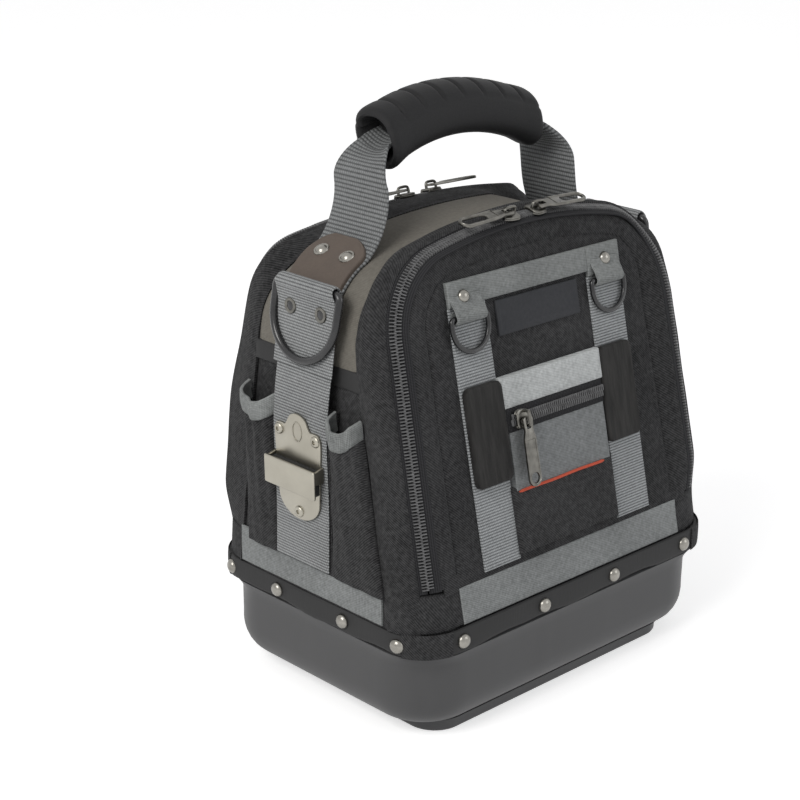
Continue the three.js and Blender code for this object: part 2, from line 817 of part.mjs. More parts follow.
function makeZipPocket(face) {
  const low = doorBottom + 2;
  const over = gap + webThickness + gap;
  const half = strapCentreX - strapWidth / 2 - gap;
  const body = slab(face, -half, half, low, pocketTop, gap, pocketOut);
  const wing = (side) => slab(
    face,
    side < 0 ? -coverOuterX : half - 2,
    side < 0 ? -half + 2 : coverOuterX,
    coverBottom,
    coverTop,
    over,
    pocketOut - gap,
  );
  const inner = half - 4;
  const slitHalf = inner - 1;
  const tapeHalf = half - 1;
  const slit = zipRowGap - 0.1;
  const sunk = 0.2;
  const row = (side) => {
    const near = pocketZip + side * zipRowGap;
    const coil = near + side * zipCoilWidth;
    const far = pocketZip + side * zipTapeWidth;
    return [
      slab(face, -tapeHalf, tapeHalf, Math.min(near, far), Math.max(near, far), pocketOut - sunk,
        pocketOut + zipTapeThickness),
      slab(face, -slitHalf, slitHalf, Math.min(near, coil), Math.max(near, coil), pocketOut - sunk / 2,
        pocketOut + zipCoilHeight),
    ];
  };
  return cut(
    join(body, wing(-1), wing(1), ...row(-1), ...row(1)),
    slab(face, -inner, inner, low + 4, pocketZip + 2, gap + pocketWall, gap + pocketWall + pocketHollow),
    slab(face, -slitHalf + 1, slitHalf - 1, pocketZip - slit, pocketZip + slit, 2, pocketOut + 1),
  );
}

// The pocket's slider runs along X, and its pull hangs down across it from a crosswise bridge
function pocketFrames(face, x) {
  const origin = face.at(x, pocketZip, pocketOut + zipCoilHeight / 2);
  const up = face.upAt(pocketZip);
  const normal = face.outAt(pocketZip);
  const right = new THREE.Vector3(1, 0, 0);
  return {
    slider: { origin, along: right, across: up, normal },
    pull: { origin, along: up.clone().negate(), across: right, normal },
  };
}

// An open-topped patch pocket for the back door, fuller towards its mouth
const backPocketTop = 108;
const backPocketFloor = 30;
const backPocketFoot = 3;
const backPocketMouth = 11;

function makeBackPocket(face) {
  const low = doorBottom + 2;
  const half = strapCentreX - strapWidth / 2 - gap;
  const wall = pocketWall + 0.5;
  const depth = (v) => (
    backPocketFoot + (backPocketMouth - backPocketFoot) * (v - low) / (backPocketTop - low)
  );
  const section = (v, inset) => [
    face.at(-half + inset, v, gap + inset),
    face.at(half - inset, v, gap + inset),
    face.at(half - inset, v, gap + depth(v) - inset),
    face.at(-half + inset, v, gap + depth(v) - inset),
  ];
  const hollowBottom = low + backPocketFloor;
  return cut(
    loft([section(low, 0), section(backPocketTop, 0)]),
    loft([section(hollowBottom, wall), section(backPocketTop + 4, wall)]),
  );
}

// Centre panel with a block of tool pockets on each side

const innerFloor = footHeight + tubWall;
const rimInnerX = rimHalfX - tubWall;

function makePanel() {
  const shellInner = archHalf(shellArch, bodyWall + panelClearance, 4);
  const limit = rimInnerX - panelClearance;
  const rungs = [
    { x: limit - tubEdgeRadius * 0.7, z: innerFloor + gap },
    { x: limit, z: footHeight + tubEdgeRadius + 4 },
    ...shellInner.slice(0, -1).map(({ x, v }) => ({ x: Math.min(x, limit), z: foldHeight + v })),
  ];
  const y0 = panelY - panelThickness / 2;
  const y1 = panelY + panelThickness / 2;
  const rings = rungs.map(({ x, z }) => [
    new THREE.Vector3(-x, y0, z),
    new THREE.Vector3(x, y0, z),
    new THREE.Vector3(x, y1, z),
    new THREE.Vector3(-x, y1, z),
  ]);
  return loft(rings);
}

function makeToolPockets(side) {
  const near = panelY + side * (panelThickness / 2 + gap);
  const between = (a, b) => [near + side * Math.min(a, b), near + side * Math.max(a, b)].sort((p, q) => p - q);
  const block = (x0, x1, a, b, z0, z1) => {
    const [y0, y1] = between(a, b);
    return box(x0, x1, y0, y1, z0, z1);
  };
  const low = innerFloor + gap;
  const half = toolPocketHalfWidth;
  const wall = toolPocketWall;
  const body = join(
    block(-half, half, 0, upperPocketDepth, low, upperPocketTop),
    block(-half, half, upperPocketDepth - 1, lowerPocketDepth, low, lowerPocketTop),
  );
  const cells = [];
  const row = (count, a, b, z0, z1) => {
    const pitch = (2 * half - wall) / count;
    for (let i = 0; i < count; i += 1) {
      const x0 = -half + wall + pitch * i;
      cells.push(block(x0, x0 + pitch - wall, a, b, z0, z1));
    }
  };
  row(upperPocketCount, wall, upperPocketDepth - wall, lowerPocketTop - upperPocketSink, upperPocketTop + pocketMouthSpare);
  row(lowerPocketCount, upperPocketDepth, lowerPocketDepth - wall, low + wall, lowerPocketTop + pocketMouthSpare);
  return cut(body, ...cells);
}

// Side pockets: one panel each side with two open mouths and a flat middle for the strap

const bodySideX = (z) => shellHalf - shellTaper * Math.max(0, z - foldHeight);

function makeSidePocket(side) {
  const share = (z) => (z - sidePocketBottom) / (sidePocketTop - sidePocketBottom);
  const bulge = (z) => sidePocketFoot + (sidePocketMouth - sidePocketFoot) * share(z);
  const frontEdge = (z) => front.yAt(z, frontStripDepth + 1.5);
  const backEdge = sidePocketHalf + 4;
  const channel = sideStrapWidth / 2 + sidePocketLap;
  const strapSide = [sideStrapY - channel, sideStrapY + channel];
  const point = (x, y, z) => new THREE.Vector3(side * (bodySideX(z) + gap + x), y, z);
  const outline = (z) => {
    const b = bulge(z);
    const t = sidePocketWall;
    return [
      [0, frontEdge(z)], [t * 0.8, frontEdge(z)], [b, frontEdge(z) + 2], [b, strapSide[0] - 0.4],
      [t, strapSide[0]], [t, strapSide[1]], [b, strapSide[1] + 0.4], [b, backEdge - 3],
      [t * 0.8, backEdge], [0, backEdge],
    ];
  };
  const levels = [sidePocketBottom, foldHeight, sidePocketTop];
  const section = outline(sidePocketTop).map(([x, y]) => new THREE.Vector2(x, y));
  const shell = loft(levels.map((z) => outline(z).map(([x, y]) => point(x, y, z))), section);
  const wall = sidePocketWall;
  const cell = (y0, y1) => {
    const floor = sidePocketBottom + sideCellFloor;
    const top = sidePocketTop + 3;
    const ring = (z) => [
      point(wall * 0.8, y0(z), z), point(bulge(z) - wall, y0(z) + 1, z),
      point(bulge(z) - wall, y1(z) - 1, z), point(wall * 0.8, y1(z), z),
    ];
    return loft([ring(floor), ring(top)]);
  };
  return cut(
    shell,
    cell((z) => frontEdge(z) + wall, () => strapSide[0] - wall),
    cell(() => strapSide[1] + wall, () => backEdge - wall - 1),
  );
}

// Side straps and the shoulder's layers: handle webbing, leather patch, then the D-ring's loop

const shoulderLineTop = archHalf(shellArch, 0, 0)[4];
const shoulderCentre = {
  x: shoulderLineTop.x + shoulderLineTop.nx * shellShoulder,
  z: foldHeight + shoulderLineTop.v + shoulderLineTop.nv * shellShoulder,
};
const legInner = shellShoulder + gap;
const legOuter = legInner + handleWebThickness;
const patchThickness = 2;
const patchInner = legOuter + gap;
const patchOuter = patchInner + patchThickness;
const sideLoopRadius = bigRingWire / 2 + ringClearance + sideStrapThickness;
const sideLoopReach = patchOuter + gap + 0.5 + sideLoopRadius;
const sideLoopAngle = Math.asin((sideLoopHeight - 2 - shoulderCentre.z) / sideLoopReach);
const sideLoopX = shoulderCentre.x + sideLoopReach * Math.cos(sideLoopAngle);
const sideLoopZ = shoulderCentre.z + sideLoopReach * Math.sin(sideLoopAngle);
const strapInner = (z) => bodySideX(z) + gap + sidePocketWall + gap;

function makeSideStrap(side) {
  const topInner = sideLoopX - 1;
  const ring = (x, z) => [-1, 1].flatMap((edge) => {
    const y = sideStrapY + edge * sideStrapWidth / 2;
    const near = new THREE.Vector3(side * x, y, z);
    const far = new THREE.Vector3(side * (x + sideStrapThickness), y, z);
    return edge < 0 ? [near, far] : [far, near];
  });
  const strap = loft([
    ring(strapInner(sideStrapBottom), sideStrapBottom),
    ring(strapInner(foldHeight), foldHeight),
    ring(strapInner(sidePocketTop), sidePocketTop),
    ring(topInner, sideLoopZ),
  ]);
  const rod = (length, radius) => new THREE.CylinderGeometry(radius, radius, length, 8)
    .translate(side * sideLoopX, sideStrapY, sideLoopZ);
  return cut(
    join(strap, rod(sideLoopWidth, sideLoopRadius)),
    rod(sideLoopWidth + 20, bigRingWire / 2 + ringClearance),
  );
}

// A band along points (x, z), each with a width, raised off them by a height
function band(side, points, thickness, centreY, height = 0) {
  const rings = points.map(({ x, z, width }, i) => {
    const before = points[Math.max(i - 1, 0)];
    const after = points[Math.min(i + 1, points.length - 1)];
    const length = Math.hypot(after.x - before.x, after.z - before.z);
    const nx = (after.z - before.z) / length;
    const nz = -(after.x - before.x) / length;
    const p = (out, y) => new THREE.Vector3(
      side * (x + nx * (height + out * thickness / 2)),
      centreY + y * width / 2,
      z + nz * (height + out * thickness / 2),
    );
    return [p(-1, -1), p(1, -1), p(1, 1), p(-1, 1)];
  });
  return loft(rings);
}

// The handle leg's middle line: up over the shoulder, then off it to the handle
const legFoot = 20;
const legLeave = 62;
const legTopZ = handlePivotHeight + 8;

function legPath() {
  const radius = (legInner + legOuter) / 2;
  const path = new THREE.CurvePath();
  const onShoulder = (degrees) => {
    const angle = THREE.MathUtils.degToRad(degrees);
    return new THREE.Vector2(
      shoulderCentre.x + radius * Math.cos(angle),
      shoulderCentre.z + radius * Math.sin(angle),
    );
  };
  const leave = onShoulder(legLeave);
  path.add(new THREE.EllipseCurve(
    shoulderCentre.x,
    shoulderCentre.z,
    radius,
    radius,
    THREE.MathUtils.degToRad(legFoot),
    THREE.MathUtils.degToRad(legLeave),
  ));
  path.add(new THREE.CubicBezierCurve(
    leave,
    new THREE.Vector2(leave.x - 10.6, leave.y + 5.6),
    new THREE.Vector2(handleLegX + 3, legTopZ - 16),
    new THREE.Vector2(handleLegX, legTopZ - gap),
  ));
  return path;
}

function alongLeg(start, end, count, widthAt) {
  const path = legPath();
  const length = path.getLength();
  return Array.from({ length: count + 1 }, (_, i) => {
    const at = start + (end - start) * (i / count);
    const point = path.getPointAt(Math.min(1, at / length));
    return { x: point.x, z: point.y, width: widthAt(at) };
  });
}

// The handle leans back a little at rest: a shift along Y that grows with the height
function leanBack(geometry) {
  const leaned = geometry.clone();
  const position = leaned.getAttribute('position');
  for (let i = 0; i < position.count; i += 1) {
    const rise = Math.max(0, position.getZ(i) - handleLeanFrom);
    position.setY(i, position.getY(i) + handleLean * rise);
  }
  return leaned;
}

function makeLeg(side) {
  const points = alongLeg(0, legPath().getLength(), 14, () => handleWebWidth);
  return band(side, points, handleWebThickness, handleY);
}

const patchStart = 3;
const patchLength = 36;
const patchHalf = 20.5;

function makePatch(side) {
  const arch = patchHalf * 0.8;
  const widthAt = (at) => {
    const past = Math.max(0, at - (patchStart + patchLength - arch)) / arch;
    return 2 * patchHalf * Math.sqrt(Math.max(1 - past * past, 0.03));
  };
  const points = alongLeg(patchStart, patchStart + patchLength, 14, widthAt);
  const height = (handleWebThickness + patchThickness) / 2 + gap + 0.1;
  return band(side, points, patchThickness, handleY, height);
}

// Handle: the webbing above the bending legs, and the ribbed grip round it

const gripCentreZ = gripCentreHeight - gripArcRadius;
const gripEndAngle = Math.asin(gripHalfLength / gripArcRadius);
const coreWidth = 22;
const coreThickness = 6;

function gripPoint(angle) {
  return { x: gripArcRadius * Math.sin(angle), z: gripCentreZ + gripArcRadius * Math.cos(angle) };
}

function makeHandleWebbing() {
  const end = gripPoint(gripEndAngle);
  const curve = new THREE.CubicBezierCurve(
    new THREE.Vector2(handleLegX, legTopZ),
    new THREE.Vector2(handleLegX - 0.8, legTopZ + 7),
    new THREE.Vector2(end.x + 6, end.z - 4),
    new THREE.Vector2(end.x + 0.8, end.z - 0.4),
  );
  const half = curve.getPoints(6).map(({ x, y }, i) => {
    const share = i / 6;
    return {
      x,
      z: y,
      width: handleWebWidth + (coreWidth - handleWebWidth) * Math.max(0, share - 0.25) / 0.75,
      thickness: handleWebThickness + (coreThickness - handleWebThickness) * share,
    };
  });
  const inner = [];
  for (let i = 1; i < 10; i += 1) {
    inner.push({ ...gripPoint(gripEndAngle * 0.94 * (1 - (i - 1) / 4)), width: coreWidth, thickness: coreThickness });
  }
  const path = [...half, ...inner, ...half.map((p) => ({ ...p, x: -p.x })).reverse()];
  const rings = path.map((point, i) => {
    const before = path[Math.max(i - 1, 0)];
    const after = path[Math.min(i + 1, path.length - 1)];
    const length = Math.hypot(after.x - before.x, after.z - before.z);
    const nx = (after.z - before.z) / length;
    const nz = -(after.x - before.x) / length;
    const p = (out, y) => new THREE.Vector3(
      point.x + nx * out * point.thickness / 2,
      handleY + y * point.width / 2,
      point.z + nz * out * point.thickness / 2,
    );
    return [p(-1, -1), p(1, -1), p(1, 1), p(-1, 1)];
  });
  return loft(rings);
}

function makeGrip() {
  const sides = 14;
  const stations = [];
  const count = gripRibCount * 2 + 4;
  for (let i = 0; i <= count; i += 1) {
    const share = i / count;
    const ribbed = share > 0.12 && share < 0.88;
    const swell = ribbed && i % 2 === 0 ? 1 : 0;
    const end = Math.abs(share - 0.5) > 0.49 ? 0.9 : 1;
    stations.push({ angle: gripEndAngle * (1 - 2 * share), swell, end });
  }
  const rings = stations.map(({ angle, swell, end }) => {
    const centre = gripPoint(angle);
    return Array.from({ length: sides }, (_, k) => {
      const turn = (k / sides) * Math.PI * 2;
      const up = Math.sin(turn);
      const radial = gripHalfHeight * end * up + (up > 0.2 ? swell * up : 0);
      return new THREE.Vector3(
        centre.x + Math.sin(angle) * radial,
        handleY + gripHalfWidth * end * Math.cos(turn),
        centre.z + Math.cos(angle) * radial,
      );
    });
  });
  const channelHalf = coreWidth / 2 + 1;
  const channelHeight = coreThickness / 2 + 1;
  const channel = [];
  const reach = gripEndAngle * 1.06;
  for (let i = 0; i <= 12; i += 1) {
    const angle = reach * (1 - i / 6);
    const flare = Math.abs(i - 6) > 5.5 ? 1.5 : 1;
    const centre = gripPoint(angle);
    channel.push([[-1, -1], [1, -1], [1, 1], [-1, 1]].map(([a, b]) => new THREE.Vector3(
      centre.x + Math.sin(angle) * b * channelHeight * flare,
      handleY + a * channelHalf * (flare > 1 ? 1.15 : 1),
      centre.z + Math.cos(angle) * b * channelHeight * flare,
    )));
  }
  return cut(loft(rings), loft(channel));
}

// Tape clip on the left strap: X across, Y up, Z out of the strap

function makeTapeClip() {
  const plate = new THREE.Shape();
  const half = clipWidth / 2 - 1.5;
  const lobe = 8;
  const tab = 11;
  const shoulder = clipScrewZ + 5;
  const tabTop = clipPlateBottom + tab;
  plate.moveTo(-tab, tabTop);
  plate.absarc(0, tabTop, tab, Math.PI, 2 * Math.PI, false);
  plate.lineTo(half, clipBottom);
  plate.lineTo(half, shoulder - 2);
  plate.lineTo(half - 3, shoulder);
  plate.lineTo(lobe, shoulder + 1);
  plate.absarc(0, clipPlateTop - lobe, lobe, 0, Math.PI, false);
  plate.lineTo(-half + 3, shoulder);
  plate.lineTo(-half, shoulder - 2);
  plate.lineTo(-half, clipBottom);
  const sheet = new THREE.ExtrudeGeometry(plate, { depth: clipSheet, bevelEnabled: false, curveSegments: 6 })
    .translate(0, 0, gap);
  const outer = clipWidth / 2;
  const bow = cut(
    box(-outer, outer, clipBottom, clipTop, gap, gap + clipReach),
    box(-outer + clipSheet, outer - clipSheet, clipBottom - 1, clipTop + 1, gap + clipSheet,
      gap + clipReach - clipSheet),
  );
  const head = (x, y) => new THREE.CylinderGeometry(clipScrewRadius * 0.8, clipScrewRadius, 1.4, 10)
    .rotateX(Math.PI / 2)
    .translate(x, y, gap + clipSheet + 0.6);
  return join(sheet, bow, head(-clipScrewY, clipScrewZ), head(clipScrewY, clipScrewZ), head(0, clipTabScrewZ));
}

// Put together

addPart('base_tub', cut(makeTub(), ...rivetPlaces().map((place) => placeAlong(makeRivetHole(), place))),
  plastic(colours.tub));
addPart('base_trim', cut(makeTrim(), ...rivetPlaces().map((place) => placeAlong(makeRivetHole(), place))),
  plastic(colours.trim));
rivetPlaces().forEach((place, i) => {
  const number = String(i + 1).padStart(2, '0');
  addPart(`base_rivet_${number}`, placeAlong(makeRivet(), place), metal(colours.metal));
});
addPart('body_shell', makeBody(), cloth(colours.shell));
addPart('centre_panel', makePanel(), plastic(colours.trim));
addPart('front_tool_pockets', makeToolPockets(-1), cloth(colours.blackFabric));
addPart('back_tool_pockets', makeToolPockets(1), cloth(colours.blackFabric));

for (const [name, side] of [['left', -1], ['right', 1]]) {
  addPart(`${name}_side_pocket`, makeSidePocket(side), cloth(colours.blackFabric));
  addPart(`${name}_side_strap`, makeSideStrap(side), cloth(colours.webbing));
  addPart(`${name}_handle_leg`, leanBack(makeLeg(side)), cloth(colours.webbing));
  addPart(`${name}_handle_patch`, leanBack(makePatch(side)), cloth(colours.leather));
  const ring = ringGeometry(bigRingWidth, bigRingHeight, bigRingWire);
  const mesh = addPart(`${name}_d_ring`, ring, metal(colours.darkMetal));
  mesh.position.set(side * sideLoopX, sideStrapY, sideLoopZ);
  mesh.rotation.set(0, -side * THREE.MathUtils.degToRad(10), Math.PI / 2, 'YZX');
}

const clipSlope = Math.atan(shellTaper);
const clip = addPart('tape_clip', makeTapeClip().translate(0, -clipTop, 0), metal(colours.metal));
clip.position.set(-strapInner(clipTop) - sideStrapThickness, sideStrapY, clipTop);
clip.quaternion.setFromRotationMatrix(new THREE.Matrix4().makeBasis(
  new THREE.Vector3(0, -1, 0),
  new THREE.Vector3(Math.sin(clipSlope), 0, Math.cos(clipSlope)),
  new THREE.Vector3(-Math.cos(clipSlope), 0, Math.sin(clipSlope)),
));

for (const [name, face] of [['front', front], ['back', back]]) {
  addPart(`${name}_zip_fixed`, zipRow(face, -1), cloth(colours.blackFabric));
  addPart(`${name}_door`, makeDoor(face), cloth(colours.blackFabric));
  addPart(`${name}_door_zip`, zipRow(face, 1), cloth(colours.blackFabric));
  addPart(`${name}_webbing`, makeWebbing(face), cloth(colours.webbing));
  for (const [side, sign] of [['left', -1], ['right', 1]]) {
    const frame = zipFrame(face, crownPoint(sign * sliderStart), sign);
    placeInFrame(addPart(`${name}_${side}_slider`, makeSlider(), metal(colours.darkMetal)), frame);
    placeInFrame(addPart(`${name}_${side}_pull`, makePull(), metal(colours.darkMetal)), frame, pullHeight);
    const ring = addPart(`${name}_${side}_ring`, ringGeometry(smallRingWidth, smallRingHeight, smallRingWire),
      metal(colours.darkMetal));
    ring.position.copy(face.at(sign * strapCentreX, smallRingBar, smallLoopOut));
    ring.quaternion.setFromRotationMatrix(new THREE.Matrix4().makeBasis(
      new THREE.Vector3(1, 0, 0),
      face.upAt(smallRingBar).clone().cross(new THREE.Vector3(1, 0, 0)),
      face.upAt(smallRingBar),
    ));
  }
}
addPart('front_zip_pocket', makeZipPocket(front), cloth(colours.blackFabric));
addPart('front_label', slab(front, labelLeft, labelRight, labelBottom, labelTop, gap, gap + labelThickness),
  cloth(colours.trim));
addPart('back_pocket', makeBackPocket(back), cloth(colours.blackFabric));
const pocketZipFrames = pocketFrames(front, pocketSliderStart);
placeInFrame(addPart('pocket_slider', makeSlider(Math.PI / 2), metal(colours.darkMetal)), pocketZipFrames.slider);
placeInFrame(addPart('pocket_pull', makePull(), metal(colours.darkMetal)), pocketZipFrames.pull, pullHeight);
addPart('handle_webbing', leanBack(makeHandleWebbing()), cloth(colours.webbing));
addPart('handle_grip', leanBack(makeGrip()), plastic(colours.grip));

export default bag;
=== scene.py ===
# The looks of a compact zippered tool bag. It is built in the order a maker puts it together:
# moulded tub, riveted trim, cloth walls, gusset, zips, doors, pockets, webbing, hardware, handle.
# Sizes are millimetres until a mesh is made, which is in metres.
import math

import bmesh
import bpy
import numpy as np
from mathutils import Matrix, Vector


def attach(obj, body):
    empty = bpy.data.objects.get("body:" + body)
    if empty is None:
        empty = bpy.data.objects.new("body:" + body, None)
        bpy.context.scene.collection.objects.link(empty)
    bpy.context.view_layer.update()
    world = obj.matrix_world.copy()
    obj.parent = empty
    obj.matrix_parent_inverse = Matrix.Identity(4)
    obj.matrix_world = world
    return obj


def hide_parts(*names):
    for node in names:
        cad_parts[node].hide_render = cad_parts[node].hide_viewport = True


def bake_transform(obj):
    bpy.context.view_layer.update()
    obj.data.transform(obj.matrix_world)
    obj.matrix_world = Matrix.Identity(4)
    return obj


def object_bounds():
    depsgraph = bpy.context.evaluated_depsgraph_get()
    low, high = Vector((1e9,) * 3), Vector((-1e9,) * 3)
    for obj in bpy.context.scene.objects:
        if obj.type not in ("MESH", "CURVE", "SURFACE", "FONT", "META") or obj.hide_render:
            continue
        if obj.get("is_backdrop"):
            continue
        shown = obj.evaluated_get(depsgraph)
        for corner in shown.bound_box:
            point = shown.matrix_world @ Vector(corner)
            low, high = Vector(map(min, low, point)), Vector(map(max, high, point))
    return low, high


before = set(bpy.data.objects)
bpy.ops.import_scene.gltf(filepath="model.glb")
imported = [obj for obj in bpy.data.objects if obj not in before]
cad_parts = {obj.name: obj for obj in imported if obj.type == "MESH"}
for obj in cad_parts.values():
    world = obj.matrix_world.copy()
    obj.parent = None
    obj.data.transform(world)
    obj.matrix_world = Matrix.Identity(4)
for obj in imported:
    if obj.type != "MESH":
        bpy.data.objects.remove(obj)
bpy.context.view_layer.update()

# Camera, floor and light. A studio shot: the bag stands on a white sweep under soft light from
# the upper left, with a weaker light from the right and a bright room round it.
azimuth = math.radians(-43.96)
elevation = math.radians(19.68)
roll = math.radians(0.6)
camera_distance = 1.08694
camera_aside = -0.04118
camera_height = 0.1518
away = Vector((
    math.sin(azimuth) * math.cos(elevation),
    -math.cos(azimuth) * math.cos(elevation),
    math.sin(elevation),
))
level = Vector((0, 0, 1)).cross(away).normalized()
upward = away.cross(level)
tilted_right = level * math.cos(roll) + upward * math.sin(roll)
tilted_up = upward * math.cos(roll) - level * math.sin(roll)
camera = bpy.data.objects.new("camera", bpy.data.cameras.new("camera"))
camera.data.sensor_width = 36
camera.data.lens = 84.395
camera.data.clip_start = 0.05
camera.data.clip_end = 60
place = level * camera_aside + Vector((0, 0, camera_height)) + away * camera_distance
turned = Matrix((tilted_right, tilted_up, away)).transposed().to_4x4()
camera.matrix_world = Matrix.Translation(place) @ turned
bpy.context.scene.collection.objects.link(camera)
bpy.context.scene.camera = camera
bpy.context.scene.view_settings.view_transform = "Standard"


class Value:
    """A number on a material's socket. Operators on it add Math nodes."""

    def __init__(self, finish, socket):
        self.finish = finish
        self.socket = socket

    def math(self, operation, *others):
        return self.finish.node("Math", {"operation": operation}, dict(enumerate((self, *others))))

    def __add__(self, other):
        return self.math("ADD", other)

    def __mul__(self, other):
        return self.math("MULTIPLY", other)

    def __sub__(self, other):
        return self.math("SUBTRACT", other)

    def __truediv__(self, other):
        return self.math("DIVIDE", other)

    def __rsub__(self, other):
        return self.finish.node("Math", {"operation": "SUBTRACT"}, {0: other, 1: self})

    __radd__ = __add__
    __rmul__ = __mul__


class Finish:
    """A material: its principled shader, and one method that adds any node."""

    def __init__(self, name, sockets):
        self.material = bpy.data.materials.new(name)
        self.material.use_nodes = True
        self.nodes = self.material.node_tree.nodes
        self.links = self.material.node_tree.links
        self.shader = self.nodes["Principled BSDF"]
        self.set(sockets)

    def plug(self, socket, given):
        if isinstance(given, Value):
            self.links.new(given.socket, socket)
        else:
            socket.default_value = given

    def set(self, sockets):
        for key, given in sockets.items():
            self.plug(self.shader.inputs[key], given)

    def node(self, kind, settings=None, inputs=None, output=0):
        made = self.nodes.new("ShaderNode" + kind)
        for key, given in (settings or {}).items():
            if key == "stops":
                ramp = made.color_ramp.elements
                for i, (position, colour) in enumerate(given):
                    stop = ramp[i] if i < 2 else ramp.new(position)
                    stop.position = position
                    stop.color = colour
            else:
                setattr(made, key, given)
        for key, given in (inputs or {}).items():
            self.plug(made.inputs[key], given)
        return Value(self, made.outputs[output])

    def mix(self, share, first, second):
        return self.node("Mix", {"data_type": "RGBA"}, {0: share, 6: first, 7: second}, 2)

    def bump(self, height, depth, strength=1.0):
        """A normal from a height of 0 to 1 that stands for a depth in millimetres."""
        sockets = {"Strength": strength, "Distance": depth * 0.001, "Height": height}
        return self.node("Bump", None, sockets)

    def noise(self, scale, detail=3.0, stretch=(1, 1, 1), place="Object"):
        where = self.node("TexCoord", output=place)
        if stretch != (1, 1, 1):
            where = self.node("Mapping", None, {"Vector": where, "Scale": stretch})
        return self.node("TexNoise", None, {"Vector": where, "Scale": scale, "Detail": detail})


def tone(red, green, blue):
    """A screen colour of 0 to 255 as the shader's linear colour: ((c + 0.055) / 1.055) ^ 2.4."""
    return (*[((c / 255 + 0.055) / 1.055) ** 2.4 for c in (red, green, blue)], 1.0)


def area_light(name, position, size, power, colour):
    lamp = bpy.data.objects.new(name, bpy.data.lights.new(name, "AREA"))
    lamp.data.size = size
    lamp.data.energy = power
    lamp.data.color = colour
    lamp.location = position
    aim = Vector((0, 0, 0.15)) - Vector(position)
    lamp.rotation_euler = aim.to_track_quat("-Z", "Y").to_euler()
    bpy.context.scene.collection.objects.link(lamp)


area_light("key", (-1.7, -0.2, 1.5), 1.0, 22, (1, 0.99, 0.97))
area_light("fill", (1.1, -1.8, 1.1), 1.2, 8, (0.97, 0.98, 1))

world = bpy.data.worlds.new("room")
bpy.context.scene.world = world
world.use_nodes = True
room = world.node_tree
paths = room.nodes.new("ShaderNodeLightPath")
seen = room.nodes.new("ShaderNodeMath")
seen.operation = "MAXIMUM"
room.links.new(paths.outputs["Is Camera Ray"], seen.inputs[0])
room.links.new(paths.outputs["Is Transmission Ray"], seen.inputs[1])
seen_or_mirrored = room.nodes.new("ShaderNodeMath")
seen_or_mirrored.operation = "MAXIMUM"
room.links.new(seen.outputs[0], seen_or_mirrored.inputs[0])
room.links.new(paths.outputs["Is Glossy Ray"], seen_or_mirrored.inputs[1])
strength = room.nodes.new("ShaderNodeMapRange")
strength.inputs["To Min"].default_value = 0.42
strength.inputs["To Max"].default_value = 1.0
room.links.new(seen_or_mirrored.outputs[0], strength.inputs["Value"])
room.links.new(strength.outputs["Result"], room.nodes["Background"].inputs["Strength"])
room.nodes["Background"].inputs["Color"].default_value = (1, 1, 1, 1)

floor_mesh = bpy.data.meshes.new("floor")
floor_half = 9.0
floor_mesh.from_pydata(
    [(-floor_half, -floor_half, 0), (floor_half, -floor_half, 0),
     (floor_half, floor_half, 0), (-floor_half, floor_half, 0)], [], [(0, 1, 2, 3)])
floor = bpy.data.objects.new("floor", floor_mesh)
bpy.context.scene.collection.objects.link(floor)
floor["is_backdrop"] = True
sweep = Finish("white_sweep", {"Base Color": (0.86, 0.86, 0.865, 1), "Roughness": 0.9,
                               "Emission Color": (1, 1, 1, 1), "Emission Strength": 0.0})
mirrored = sweep.node("LightPath", output="Is Glossy Ray")
in_sight = sweep.node("LightPath", output="Is Camera Ray").math("MAXIMUM", mirrored)
glow = sweep.node("Emission", None, {"Color": (1, 1, 1, 1), "Strength": 0.56})
lit = sweep.node("AddShader", None, {0: Value(sweep, sweep.shader.outputs[0]), 1: glow})
both = sweep.node("MixShader", None, {0: in_sight, 1: Value(sweep, sweep.shader.outputs[0]), 2: lit})
sweep.links.new(both.socket, sweep.nodes["Material Output"].inputs["Surface"])
floor_mesh.materials.append(sweep.material)

# Tub: one deep drawn tray of tough dark plastic, satin with a fine grain. It has big corner
# radii, a soft lower edge and a step that it stands on.
tub_half_x = 121.0
tub_half_y = 85.5
tub_corner = 35.0
tub_edge = 14.0
tub_edge_height = 18.0
foot_half = (100.5, 74.0)
foot_corner = 18.0
foot_height = 8.0
tub_top = 54.7
flare_top = (122.8, 87.0, 29.0)
rim_inset = 3.0
rim_top = 65.7
tub_wall = 3.5


def rounded_loop(half_x, y0, y1, radius, corner=13, side=14):
    """Points and outward normals round a rounded rectangle: four quarter circles of angle
    (quarter + t) * 90 degrees about the corner centres, joined by straight sides."""
    centres = [(half_x - radius, y1 - radius), (radius - half_x, y1 - radius),
               (radius - half_x, y0 + radius), (half_x - radius, y0 + radius)]
    points = []
    normals = []
    for quarter, centre in enumerate(centres):
        angle = (quarter + np.linspace(0, 1, corner)) * np.pi / 2
        out = np.stack([np.cos(angle), np.sin(angle)], -1)
        arc = np.array(centre) + radius * out
        nxt = np.array(centres[(quarter + 1) % 4]) + radius * out[-1]
        share = np.linspace(0, 1, side + 2)[1:-1, None]
        points += [arc, arc[-1] * (1 - share) + nxt * share]
        normals += [out, np.repeat(out[-1:], side, 0)]
    return np.concatenate(points), np.concatenate(normals)


def stacked(rings):
    """Rings given as (half x, y0, y1, radius, z), as one grid of points with the z filled in."""
    grid = []
    for half_x, y0, y1, radius, z in rings:
        points, _ = rounded_loop(half_x, y0, y1, radius)
        grid.append(np.column_stack([points, np.full(len(points), z)]))
    return np.array(grid)


